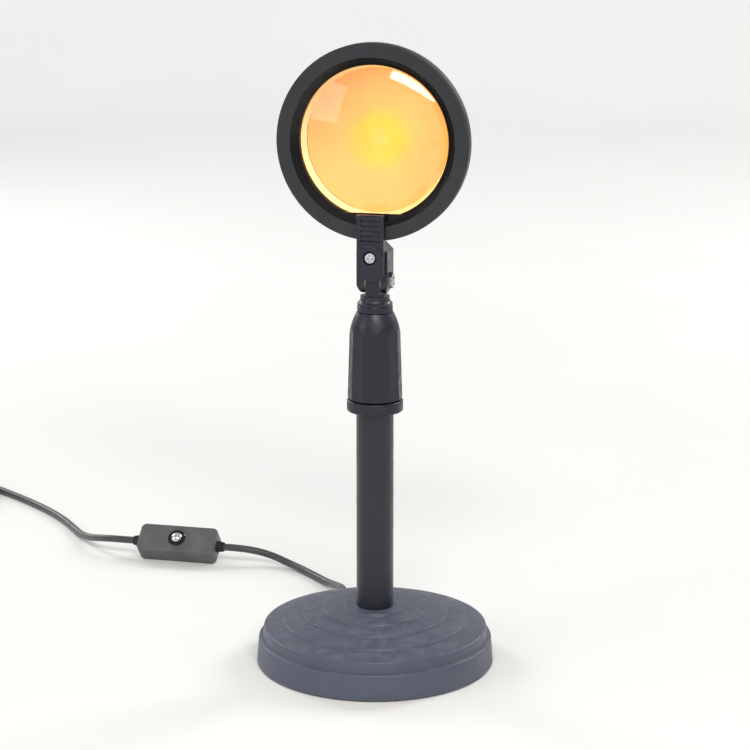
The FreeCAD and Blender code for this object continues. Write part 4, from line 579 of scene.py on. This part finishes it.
@dataclass(frozen=True)
class Glossy(Finish):
    """Gloss plastic or a lit dome: polished, with faint smears."""

    glow: float = 0.0
    metallic: float = 0.0
    smear: float = 0.14

    def dress(self, tree: Tree, shader: Node, place: Socket) -> None:
        """Smears the gloss a little, and lights the piece from within if it is an emitter."""
        patchy, dullest = noise(tree, place, 2.5, 4.0), self.roughness + self.smear
        smears = ramped(tree, patchy, 0.35, 0.7, self.roughness, dullest)
        link(tree, smears, shader, "Roughness")
        colour = tinted(tree, linear(self.code), clouded(tree, place, 5.0, 3.0, 0.92, 1.05))
        link(tree, colour, shader, "Base Color")
        shader.inputs["Metallic"].default_value = self.metallic
        if self.glow:
            link(tree, colour, shader, "Emission Color")
            shader.inputs["Emission Strength"].default_value = self.glow


@dataclass(frozen=True)
class Jacket(Finish):
    """Extruded PVC cord jacket: satin, slightly cloudy, with faint ripples where the cores press through."""

    sheen: float = 0.15
    dusty: str = "#8C8A86"
    dust: float = 0.18
    ripple_mm: float = 1.4
    ripple_depth_mm: float = 0.03

    def dress(self, tree: Tree, shader: Node, place: Socket) -> None:
        """Clouds the jacket and ripples it."""
        colour = tinted(tree, linear(self.code), clouded(tree, place, 6.0, 4.0, 0.8, 1.2))
        specks = ramped(tree, noise(tree, place, 1.6, 5.0), 0.55, 0.8, 0.0, self.dust)
        link(tree, mixed(tree, specks, colour, linear(self.dusty)), shader, "Base Color")
        smears = clouded(tree, place, 3.0, 3.0, self.roughness - 0.08, self.roughness + 0.1)
        link(tree, smears, shader, "Roughness")
        raised(tree, shader, noise(tree, place, self.ripple_mm, 3.0), self.ripple_depth_mm, 0.6)
        shader.inputs["Sheen Weight"].default_value = self.sheen


NAVY = "#131624"
FINISHES: dict[str, Finish] = {
    "base_paint": Lacquer(
        "slate lacquer on abs", "#4C5162", 0.44, worn_edge_and_highlight="#858A9A", wear_and_highlight_share=0.6, dust=0.1, edge_mm=0.7,
    ),
    "rubber_black": Moulded("moulded black rubber", "#17181A", 0.75, grain_mm=0.5, scuff_and_highlight="#34363A"),
    "plate_steel": Lacquer("black lacquer on sheet steel", "#15161A", 0.5),
    "iron": RoughMetal("sand cast iron", "#4A4642", 0.62),
    "steel": TurnedMetal("zinc plated steel", "#B9BBC0", 0.3),
    "screw_bright": TurnedMetal(
        "nickel plated screw", "#D4D6DA", 0.2, centre=Vector((0, 0, 202 * MM)), turn=Turn.FORWARD,
    ),
    "screw_black": RoughMetal("blackened steel screw", "#1A1B1E", 0.42, pit_depth_mm=0.01, blotch="#2A2C30"),
    "post_paint": Lacquer(
        "navy lacquer on steel tube", NAVY, 0.36, worn_edge_and_highlight="#4E5466", wear_and_highlight_share=0.5, dust=0.04, coat=0.1,
    ),
    "grip_plastic": Moulded(
        "navy moulded nylon", NAVY, 0.42, grain_mm=0.4, grain_depth_mm=0.012, scuff_and_highlight="#464C5E", edge_mm=0.5,
    ),
    "nylon": Moulded("natural nylon", "#DAD6C8", 0.5, scuff_and_highlight="#F0ECE0"),
    "knuckle_metal": Lacquer(
        "navy lacquer on cast alloy", NAVY, 0.38, worn_edge_and_highlight="#5A6074", wear_and_highlight_share=0.65, dust=0.05, coat=0.1,
    ),
    "bezel_metal": BezelFinish("anodised bezel ring", "#303236", 0.42),
    "housing_metal": HousingFinish("black lacquer on spun housing", "#16181D", 0.38),
    "sink_metal": TurnedMetal(
        "bare extruded aluminium", "#C3C6CA", 0.34, centre=LENS_AXIS, turn=Turn.FORWARD,
    ),
    "lens_glass": LensGlass("optical lens glass", "#FFF6E4", 0.02),
    "filter_glass": LitFilter("amber dichroic filter", "#E08A1E", 0.3),
    "reflector_white": Glossy("white gloss reflector", "#F1EFE8", 0.2),
    "emitter": Glossy("lit emitter dome", "#FFE08A", 0.12, glow=1.0),
    "cord_jacket": Jacket("charcoal pvc jacket", "#3A3A3D", 0.42),
    "tie_plastic": Moulded("black nylon tie", "#141416", 0.5),
    "switch_plastic": Moulded(
        "grey moulded abs", "#5A595D", 0.44, grain_mm=0.3, grain_depth_mm=0.012, scuff_and_highlight="#84838A", edge_mm=0.5,
    ),
    "button_ring_plastic": Glossy("gloss black abs ring", "#08080A", 0.12),
    "button_metal": Glossy("chromed button", "#E2E4E8", 0.08, metallic=1.0),
    "contact_block": Moulded("beige contact block", "#CFC8B6", 0.5, scuff_and_highlight="#E2DCCC"),
    "plug_plastic": Moulded("charcoal pvc overmould", "#242427", 0.5, grain_mm=0.5),
    "plug_metal": TurnedMetal("nickel plated plug shell", "#C9CBCF", 0.26, ring_mm=0.5),
    "plug_insulator": Moulded("white plug insulator", "#E6E6E4", 0.45, scuff_and_highlight="#F4F4F2"),
}
GOLD = TurnedMetal("gold flashed contact", "#E2B65A", 0.22, ring_mm=0.6, stain="#A8803A")


def finish_of(slot: str) -> bpy.types.Material:
    """The material of one of the record's slots."""
    return FINISHES[slot].material()


# ------------------------------------------------------------------ surfaces


def render_levels(fine: int) -> int:
    return fine


def smooth(share: np.ndarray) -> np.ndarray:
    """The smooth step s^2 (3 - 2 s) of shares."""
    share = np.clip(share, 0, 1)
    return share**2 * (3 - 2 * share)


def placed(name: str, data: bpy.types.ID) -> Piece:
    """Puts new data into the scene as an object."""
    piece = bpy.data.objects.new(name, data)
    bpy.context.scene.collection.objects.link(piece)
    return piece


def grid_mesh(name: str, points: np.ndarray, closed: bool = True) -> Piece:
    """A skin with smooth faces on a grid of points.

    Args:
        name: The piece's name.
        points: Array of rows, columns and coordinates.
        closed: Whether each row is a ring, with a face across the first and the last.

    Returns:
        The new object.
    """
    rows, columns, _ = points.shape
    across = columns if closed else columns - 1
    row, column = np.meshgrid(np.arange(rows - 1), np.arange(across), indexing="ij")
    near, far = row * columns, (row + 1) * columns
    beside = (column + 1) % columns
    quads = np.stack([near + column, near + beside, far + beside, far + column], -1)
    faces = quads.reshape(-1, 4).tolist()
    if closed:
        faces.append(list(range(columns))[::-1])
        faces.append(list(range((rows - 1) * columns, rows * columns)))
    mesh = bpy.data.meshes.new(name)
    mesh.from_pydata(points.reshape(-1, 3).tolist(), [], faces)
    mesh.update()
    mesh.polygons.foreach_set("use_smooth", np.ones(len(mesh.polygons), bool))
    return placed(name, mesh)


def sharpen(piece: Piece, degrees: float) -> None:
    """Keeps edges steeper than an angle crisp under smooth shading."""
    piece.data.set_sharp_from_angle(angle=math.radians(degrees))


# A path counts as upright where its direction's Z is above this.
NEARLY_UPRIGHT = 0.95


def frames_along(path: np.ndarray) -> tuple[np.ndarray, np.ndarray]:
    """Two unit vectors square to a path at each of its points.

    The first is the world's Z less its share along the path, and the second completes the frame. Where the
    path runs upright, X stands in for Z.
    """
    ways = np.gradient(path, axis=0)
    ways /= np.linalg.norm(ways, axis=1, keepdims=True)
    upright = np.abs(ways[:, 2:3]) > NEARLY_UPRIGHT
    up = np.where(upright, np.array([[1.0, 0.0, 0.0]]), np.array([[0.0, 0.0, 1.0]]))
    first = up - ways * np.sum(up * ways, axis=1, keepdims=True)
    first /= np.linalg.norm(first, axis=1, keepdims=True)
    return first, np.cross(ways, first)


def tube(name: str, path: np.ndarray, radius: float, around: int = 16) -> Piece:
    """A round tube: path point plus radius times cos and sin of the turn along the path's two side vectors.

    Args:
        name: The piece's name.
        path: The points of its middle line, in order.
        radius: Its radius.
        around: How many points one ring has.

    Returns:
        The new object.
    """
    first, second = frames_along(path)
    turn = np.linspace(0, 2 * np.pi, around, endpoint=False)
    ring = np.cos(turn)[None, :, None] * first[:, None] + np.sin(turn)[None, :, None] * second[:, None]
    return grid_mesh(name, path[:, None] + radius * ring)


def turned_skin(name: str, profile: np.ndarray, base: Vector, way: Vector, around: int = 48) -> Piece:
    """A turned piece: base plus distance times the axis plus radius times the ring about it.

    Args:
        name: The piece's name.
        profile: Pairs of a distance along the axis and a radius about it, both in metres.
        base: Where the axis starts.
        way: Which way it runs.
        around: How many points one ring has.

    Returns:
        The new object.
    """
    axis = way.normalized()
    first = axis.orthogonal().normalized()
    second = axis.cross(first)
    turn = np.linspace(0, 2 * np.pi, around, endpoint=False)
    ring = np.cos(turn)[:, None] * np.array(first) + np.sin(turn)[:, None] * np.array(second)
    points = np.array(base) + profile[:, :1, None] * np.array(axis) + profile[:, 1:, None] * ring[None]
    return grid_mesh(name, points)


def put_on(piece: Piece, body: str, slot: str, material: bpy.types.Material | None = None) -> Piece:
    """Gives a piece its finish and lets it ride on its body."""
    piece.data.materials.append(material or finish_of(slot))
    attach(piece, body)
    LOG.info("%s rides on %s", piece.name, body)
    return piece


def spline(name: str, points: np.ndarray, thickness: float) -> Piece:
    """A cord as one smooth spline whose control points are the route's own."""
    curve = bpy.data.curves.new(name, "CURVE")
    curve.dimensions = "3D"
    curve.bevel_depth = thickness
    curve.bevel_resolution = 5
    curve.use_fill_caps = True
    line = curve.splines.new("NURBS")
    line.points.add(len(points) - 1)
    line.points.foreach_set("co", np.column_stack([points, np.ones(len(points))]).ravel())
    line.order_u = 3
    line.use_endpoint_u = True
    curve.resolution_u = 4
    return placed(name, curve)


def read_line(points: np.ndarray) -> np.ndarray:
    """The points that a route's smooth spline passes, in order."""
    guide = spline("guide", points, 0.0)
    mesh = bpy.data.meshes.new_from_object(guide)
    line = np.empty(len(mesh.vertices) * 3)
    mesh.vertices.foreach_get("co", line)
    bpy.data.objects.remove(guide)
    bpy.data.meshes.remove(mesh)
    return line.reshape(-1, 3)


def length_of(line: np.ndarray) -> float:
    """The length of a line of points."""
    return float(np.linalg.norm(np.diff(line, axis=0), axis=1).sum())


# ------------------------------------------------------------------ cord and plug

# The cord's route where it isn't coiled: its place on the table and its height, in millimetres.
TO_SWITCH = (
    (-41.5, 87.5, 4.9), (-49.5, 98.0, 2.5), (-58.8, 107.8, 2.1), (-69.0, 117.4, 2.1), (-79.8, 124.8, 2.9),
    (-90.0, 128.2, 5.4), (-99.5, 126.6, 8.0),
)
AFTER_SWITCH = (
    (-185.5, 125.8, 8.9), (-193.5, 130.2, 7.2), (-201.2, 136.8, 4.9), (-208.8, 145.4, 2.9),
    (-217.0, 156.0, 2.1), (-226.0, 167.4, 2.1), (-236.0, 178.4, 2.1), (-247.0, 188.8, 2.1),
    (-258.8, 198.6, 2.1), (-270.2, 207.2, 2.1), (-281.6, 215.4, 2.1), (-293.2, 223.2, 2.1),
)
# The tail's steps from where it leaves the coil: along it, to its left and up, in millimetres.
TAIL_STEPS = ((13.0, 0.0, 0.0), (24.0, 0.8, -3.0), (36.0, 2.2, -5.2), (48.0, 3.2, -4.6), (58.0, 3.6, -3.3))
# The strain relief's flange, neck and collar, then its tip: distance from the base's middle, and radius.
RELIEF_HEAD = (
    (51.8, 0.4), (51.8, 3.3), (54.2, 3.3), (54.3, 2.7), (57.7, 2.7), (57.8, 3.5), (58.2, 3.6), (59.3, 3.6),
    (59.7, 3.4),
)
RELIEF_TIP = ((75.9, 2.3), (76.0, 2.05))
SLAB_FACES = ((0, 1, 3, 2), (4, 6, 7, 5), (0, 4, 5, 1), (2, 3, 7, 6), (0, 2, 6, 4), (1, 5, 7, 3))


@dataclass
class SwitchPlace:
    """Where the in-line switch lies, and its size."""

    middle: Vector = field(default_factory=lambda: Vector((-143.0, 124.0, 9.51)) * MM)
    roll: float = math.radians(40.0)
    reach: float = 26.5 * MM

    def end(self, side: int) -> np.ndarray:
        """The outer end of one of its bushes."""
        return np.array(self.middle + Vector((side * self.reach, 0, 0)))

    def in_scene(self, points: np.ndarray) -> np.ndarray:
        """Takes points from the casing's own frame to the scene's."""
        cos, sin = math.cos(self.roll), math.sin(self.roll)
        axes = np.array([[1, 0, 0], [0, cos, sin], [0, -sin, cos]])
        return np.array(self.middle) + points @ axes * MM


@dataclass(frozen=True)
class GripShape:
    """The plug grip's sizes in millimetres, and shares of its length from the cord's end."""

    length: float = 32.0
    width: float = 15.6
    height: float = 8.2
    neck_width_share: float = 0.22
    neck_half_height: float = 2.9
    grown_at: float = 0.34
    corner_length: float = 1.2
    corner_inset: float = 1.0
    groove_start: float = 0.42
    groove_end: float = 0.86
    groove_fade: float = 0.04
    groove_pitch: float = 0.055
    groove_depth: float = 0.45
    squareness: float = 4.2
    rows: int = 72
    around: int = 64

    def skin(self) -> np.ndarray:
        """The grip's surface in its own frame: along, across and up.

        Each section is a superellipse: half width times cos to the power 2 / squareness, and half height
        times sin to it. Both grow along a smooth step, and the square of a sine cuts shallow grooves.
        """
        along = np.linspace(0, 1, self.rows)
        grow = smooth(along / self.grown_at)
        from_end = np.minimum(along, 1 - along) * self.length
        corner = np.clip(from_end / self.corner_length, 0, 1)
        inset = self.corner_inset * (1 - np.sqrt(1 - (1 - corner) ** 2))
        neck = self.width * self.neck_width_share
        half_width = neck + (self.width / 2 - neck) * grow - inset
        rising = np.clip((along - self.groove_start) / self.groove_fade, 0, 1)
        falling = np.clip((self.groove_end - along) / self.groove_fade, 0, 1)
        wave = np.sin(np.pi * (along - self.groove_start) / self.groove_pitch) ** 2
        half_height = self.neck_half_height + (self.height / 2 - self.neck_half_height) * grow
        half_height = half_height - inset - self.groove_depth * rising * falling * wave
        turn = np.linspace(0, 2 * np.pi, self.around, endpoint=False)
        power = 2 / self.squareness
        wide = np.sign(np.cos(turn)) * np.abs(np.cos(turn)) ** power
        tall = np.sign(np.sin(turn)) * np.abs(np.sin(turn)) ** power
        level = np.broadcast_to(along[:, None] * self.length, (self.rows, self.around))
        return np.stack([level, half_width[:, None] * wide, half_height[:, None] * tall], -1)


@dataclass
class Cord:
    """The charcoal cord: from the base through the switch, into its coil and on to the plug."""

    thickness: float = 2.0 * MM
    exit_angle: float = math.radians(25.0)
    reach: float = 76.0 * MM
    height: float = 7.4 * MM
    coil_middle: Vector = field(default_factory=lambda: Vector((-325.1, 202.7, 0.0)) * MM)
    core: float = 14.9 * MM
    pitch: float = 4.6 * MM
    layer: float = 3.0 * MM
    turns_in: float = 3.6
    turns_out: float = 3.666
    entry: float = math.radians(165.0)
    points_per_turn: int = 24
    straight: float = 9 * MM
    switch_lead: float = 8 * MM
    contact_start: float = 34.0
    contact_end: float = 48.0
    contact_floor: float = 0.05
    contact_rise: float = 0.12
    contact_half_width: float = 0.5
    contact_places: tuple[float, ...] = (-3.5, -1.2, 1.2, 3.5)

    def outward(self) -> Vector:
        """The level direction in which the cord leaves the base."""
        return Vector((-math.sin(self.exit_angle), math.cos(self.exit_angle), 0))

    def exit(self) -> Vector:
        """Where the cord leaves its strain relief."""
        return self.outward() * self.reach + Vector((0, 0, self.height))

    def coil(self) -> np.ndarray:
        """Control points of the coil, evenly round its turns.

        With t the turn from the innermost point, the radius is core + pitch |t| / 2 pi, and the height goes
        up one pitch as the smooth step of t / pi + 1/2. Each radius is larger by the share that the spline
        cuts off between its points.
        """
        low, high = -2 * np.pi * self.turns_in, 2 * np.pi * self.turns_out
        count = round((high - low) / (2 * np.pi) * self.points_per_turn)
        turn = np.linspace(low, high, count + 1)
        cut = 2 / (1 + math.cos(math.pi / self.points_per_turn))
        radius = (self.core + self.pitch * np.abs(turn) / (2 * np.pi)) * cut
        height = self.layer + self.pitch * smooth(turn / np.pi + 0.5)
        facing = self.entry - np.pi / 2 + turn - low
        flat = np.stack([radius * np.cos(facing), radius * np.sin(facing), height], -1)
        return flat + np.array(self.coil_middle)

    def tail_axes(self) -> np.ndarray:
        """Directions where the cord leaves the coil."""
        facing = self.entry + 2 * math.pi * (self.turns_in + self.turns_out)
        cos, sin = math.cos(facing), math.sin(facing)
        return np.array([(cos, sin, 0.0), (-sin, cos, 0.0), (0.0, 0.0, 1.0)])

    def tail(self) -> np.ndarray:
        """The route from the coil's end to the plug."""
        way, left, up = self.tail_axes()
        radius = self.core + self.turns_out * self.pitch
        level = np.array(self.coil_middle) + up * (self.layer + self.pitch)
        start = level - left * radius + way * 2 * self.thickness
        steps = start + np.array(TAIL_STEPS) @ self.tail_axes() * MM
        return np.vstack([start, steps, steps[-1] + way * self.straight])

    def route(self, switch: SwitchPlace) -> np.ndarray:
        """All control points of the cord."""
        way_in = np.array([math.cos(self.entry), math.sin(self.entry), 0.0])
        way_out, along = np.array(self.outward()), np.array([self.switch_lead, 0, 0])
        coil, start = self.coil(), np.array(self.exit())
        right, left = switch.end(1), switch.end(-1)
        first_turn = coil[0] - way_in * 2 * self.thickness
        return np.vstack([
            start,
            start + way_out * self.straight,
            np.array(TO_SWITCH) * MM,
            right + along,
            right,
            left,
            left - along,
            np.array(AFTER_SWITCH) * MM,
            first_turn - way_in * self.straight,
            first_turn,
            coil,
            self.tail(),
        ])

    def strain_relief(self) -> Piece:
        """The rubber strain relief: flange, neck, collar and a ribbed tail.

        The tail's radius falls evenly, less a rib depth times the square of the sine of the way along it.
        """
        start, end, ribs, depth = 60.2, 75.6, 7, 0.42
        root, taper, fade = 3.3, 0.85, 0.5
        along = np.linspace(start, end, 90)
        share = (along - start) / (end - start)
        grooves = depth * np.sin(np.pi * ribs * share) ** 2 * (1 - fade * share)
        tail = np.column_stack([along, root - taper * share - grooves])
        profile = np.vstack([RELIEF_HEAD, tail, RELIEF_TIP]) * MM
        piece = turned_skin("cord_strain_relief", profile, Vector((0, 0, self.height)), self.outward())
        sharpen(piece, 50)
        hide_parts("strain_relief")
        return put_on(piece, "stand", "rubber_black")

    def plug_grip(self) -> Piece:
        """The plug's moulded grip."""
        points = self.tail()[-1] + GripShape().skin() @ self.tail_axes() * MM
        piece = grid_mesh("plug_overmould", points)
        sharpen(piece, 60)
        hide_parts("plug_grip")
        return put_on(piece, "stand", "plug_plastic")

    def contacts(self) -> Piece:
        """The four gold contacts on the plug's tongue, as thin slabs with bevelled edges."""
        ends = (self.contact_start, self.contact_end)
        sides = (-self.contact_half_width, self.contact_half_width)
        levels = (self.contact_floor, self.contact_floor + self.contact_rise)
        slab = np.array([(x, y, z) for x in ends for y in sides for z in levels])
        count = len(self.contact_places)
        aside = np.stack([np.zeros(count), self.contact_places, np.zeros(count)], -1)
        slabs = (slab[None] + aside[:, None]).reshape(-1, 3)
        points = self.tail()[-1] + slabs @ self.tail_axes() * MM
        faces = (np.array(SLAB_FACES)[None] + np.arange(count)[:, None, None] * len(slab)).reshape(-1, 4)
        mesh = bpy.data.meshes.new("plug_contacts")
        mesh.from_pydata(points.tolist(), [], faces.tolist())
        piece = placed("plug_contacts", mesh)
        bevel = piece.modifiers.new("edges", "BEVEL")
        bevel.width = 0.05 * MM
        bevel.segments = render_levels(2)
        return put_on(piece, "stand", "plug_metal", GOLD.material())

    def build(self, switch: SwitchPlace, spring: Piece) -> Piece:
        """Makes the cord and everything on it.

        Args:
            switch: Where the in-line switch lies.
            spring: The spring inside the switch; not used.

        Returns:
            The cord.
        """
        route = self.route(switch)
        piece = spline("power_cord", route, self.thickness)
        relief = self.strain_relief()
        grip = self.plug_grip()
        contacts = self.contacts()
        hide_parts("cord_to_switch", "cord_after_switch", "cord_coil", "plug_tail")
        length_of(read_line(route))
        return put_on(piece, "stand", "cord_jacket")


# ------------------------------------------------------------------ other sub-assemblies


@dataclass
class Spring:
    """The coil spring under the push button."""

    radius: float = 2.0
    wire: float = 0.28
    low: float = -4.5
    turns: float = 5.0
    steps: int = 220
    flatness: float = 0.08

    def build(self, switch: SwitchPlace, top: float = -0.5) -> Piece:
        """A helix whose end turns lie flatter: the height rises as t less a share of the sine of 2 pi t.

        Its top is given in millimetres in the switch casing's frame.
        """
        turn = np.linspace(0, 1, self.steps)
        rise = turn - np.sin(2 * np.pi * turn) * self.flatness
        height = self.low + self.wire + (top - self.low - 2 * self.wire) * rise
        facing = 2 * np.pi * self.turns * turn
        helix = np.stack([self.radius * np.cos(facing), self.radius * np.sin(facing), height], -1)
        piece = tube("button_coil_spring", switch.in_scene(helix), self.wire * MM, around=10)
        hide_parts("button_spring")
        return put_on(piece, "stand", "steel")


@dataclass
class HeadLead:
    """The thin lead: from the light board down out of the housing, and in behind the knuckle."""

    thickness: float = 1.1 * MM
    plane: float = 25.0
    axis: float = 255.5
    board_drop: float = 14.0
    bend_drop: float = 37.0
    entry_depth: float = 6.7
    entry_height: float = 207.4
    shares: tuple[tuple[float, float], ...] = ((0.14, 0.52), (0.44, 0.88))

    def route(self) -> np.ndarray:
        """Its control points, from the board down and forward to the knuckle's back."""
        board = np.array([0, self.plane, self.axis - self.board_drop])
        bend = np.array([0, self.plane, self.axis - self.bend_drop])
        entry = np.array([0, self.entry_depth, self.entry_height])
        between = [bend + (entry - bend) * (0, *share) for share in self.shares]
        return np.array([board, bend, *between, entry]) * MM

    def build(self) -> Piece:
        """Makes the lead along its route from the board to the knuckle's back."""
        line = read_line(self.route())
        piece = tube("head_lead_tube", line, self.thickness)
        piece.data.materials.append(finish_of("cord_jacket"))
        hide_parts("head_lead")
        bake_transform(piece)
        LOG.info("%s bends between the knuckle and the head", piece.name)
        return piece


@dataclass(frozen=True)
class Light:
    """A soft rectangular light that faces the lamp, rolled about its own beam."""

    name: str
    place: tuple[float, float, float]
    size: tuple[float, float]
    power: float
    code: str = "#FFFFFF"
    roll: float = 0.0

    def build(self, aim: Vector) -> None:
        """Makes the light, which faces a point."""
        light = bpy.data.lights.new(self.name, "AREA")
        light.shape = "RECTANGLE"
        light.size, light.size_y = self.size
        light.energy = self.power
        light.color = linear(self.code)[:3]
        holder = placed(self.name, light)
        holder.location = self.place
        roll = Quaternion((0, 0, 1), math.radians(self.roll))
        turn = (aim - Vector(self.place)).to_track_quat("-Z", "Y") @ roll
        holder.rotation_euler = turn.to_euler()


LIGHTS = (
    Light("key light", (0.42, -1.05, 1.12), (0.95, 0.2), 13.0, "#FFFAF0", -34.0),
    Light("fill light", (-1.5, -1.2, 0.9), (0.9, 0.9), 7.0, "#F6F8FF"),
    Light("rim light", (1.0, 1.3, 1.1), (0.5, 0.9), 13.0),
    Light("left rim light", (-1.3, 0.9, 0.8), (0.4, 0.8), 8.0),
)


@dataclass(frozen=True)
class FloorFinish(Finish):
    """A pale floor. For the camera it glows more the further it is, so that it ends in white."""

    cloud: str = "#F1F0EE"
    cloud_mm: float = 260.0
    lit_from: float = 0.3
    lit_to: float = 2.8
    lit: float = 0.42

    def dress(self, tree: Tree, shader: Node, place: Socket) -> None:
        """Clouds the floor and lights its far parts."""
        clouds = clouded(tree, place, self.cloud_mm, 2.0, 0.0, 1.0)
        pale = mixed(tree, clouds, linear(self.code), linear(self.cloud))
        link(tree, pale, shader, "Base Color")
        link(tree, pale, shader, "Emission Color")
        seen = add_node(tree, "LightPath").outputs["Is Camera Ray"]
        distance = radius_from(tree, place, Vector(), Turn.UPRIGHT)
        far = ramped(tree, distance, self.lit_from, self.lit_to, 0.0, self.lit)
        link(tree, times(tree, far, seen), shader, "Emission Strength")


FLOOR_FINISH = FloorFinish("pale studio floor", "#EFEEEC", 0.85)


@dataclass
class Stage:
    """Floor, light and camera."""

    distance: float = 1.0
    camera_height: float = 0.382
    azimuth: float = math.radians(13.5)
    aim: Vector = field(default_factory=lambda: Vector((0, 0, 0.1436)))
    focal_mm: float = 103.26
    sensor_mm: float = 36.0
    floor_reach: float = 14.0
    bend_start: float = 2.2
    bend_radius: float = 0.9
    wall_start: float = 1.2
    wall_top: float = 4.0
    air_code: str = "#F2F3F5"
    air_light: float = 0.55
    air_seen: float = 0.95

    def floor_points(self) -> np.ndarray:
        """A level floor that rises into a backdrop: 0 up to the bend, then a quarter circle and a wall."""
        reach, quarter = self.floor_reach, np.linspace(0, np.pi / 2, 24)
        level = np.linspace(-reach, self.bend_start, 8)
        wall = np.linspace(self.wall_start, self.wall_top, 4)
        bend_end = np.full(wall.size, self.bend_start + self.bend_radius)
        rows = np.concatenate([level, self.bend_start + self.bend_radius * np.sin(quarter), bend_end])
        rise = np.concatenate([np.zeros(level.size), self.bend_radius * (1 - np.cos(quarter)), wall])
        across = np.linspace(-reach, reach, 9)
        return np.stack(np.broadcast_arrays(across[None], rows[:, None], rise[:, None]), -1)

    def floor(self) -> None:
        """Makes the floor and its backdrop."""
        piece = grid_mesh("studio_floor", self.floor_points(), closed=False)
        piece.data.materials.append(FLOOR_FINISH.material())

    def air(self) -> None:
        """Sets the world: dim for its light, and bright for the camera."""
        world = bpy.data.worlds.new("studio air")
        bpy.context.scene.world = world
        world.use_nodes = True
        tree = world.node_tree
        air = tree.nodes["Background"]
        air.inputs["Color"].default_value = linear(self.air_code)
        seen = add_node(tree, "LightPath").outputs["Is Camera Ray"]
        link(tree, ramped(tree, seen, 0.0, 1.0, self.air_light, self.air_seen), air, "Strength")

    def camera(self) -> None:
        """Sets the camera of the photo's view."""
        camera = bpy.data.cameras.new("photo camera")
        camera.lens = self.focal_mm
        camera.sensor_width = self.sensor_mm
        holder = placed("photo camera", camera)
        level = Vector((math.sin(self.azimuth), -math.cos(self.azimuth), 0)) * self.distance
        holder.location = place = level + Vector((0, 0, self.camera_height))
        holder.rotation_euler = (self.aim - place).to_track_quat("-Z", "Y").to_euler()
        bpy.context.scene.camera = holder

    def build(self) -> None:
        """Sets the floor, the lights, the world and the camera."""
        self.floor()
        for light in LIGHTS:
            light.build(self.aim)
        self.air()
        self.camera()
        bpy.context.scene.view_settings.view_transform = "Standard"


def dress_nodes(frame: dict) -> None:
    """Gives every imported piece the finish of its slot."""
    slots = {part["node"]: part["material_slot"] for part in frame["record"]["subparts"]}
    for name, node in frame["nodes"].items():
        node.data.materials.clear()
        node.data.materials.append(finish_of(slots[name]))
        LOG.info("%s wears %s", name, node.data.materials[0].name)


def main() -> None:
    """Builds the lamp's dressed model and its studio."""
    logging.basicConfig(level=logging.INFO, format="%(message)s")
    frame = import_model()
    Stage().build()
    dress_nodes(frame)
    switch = SwitchPlace()
    Cord().build(switch, Spring().build(switch))
    HeadLead().build()


if __name__ == "__main__":
    main()
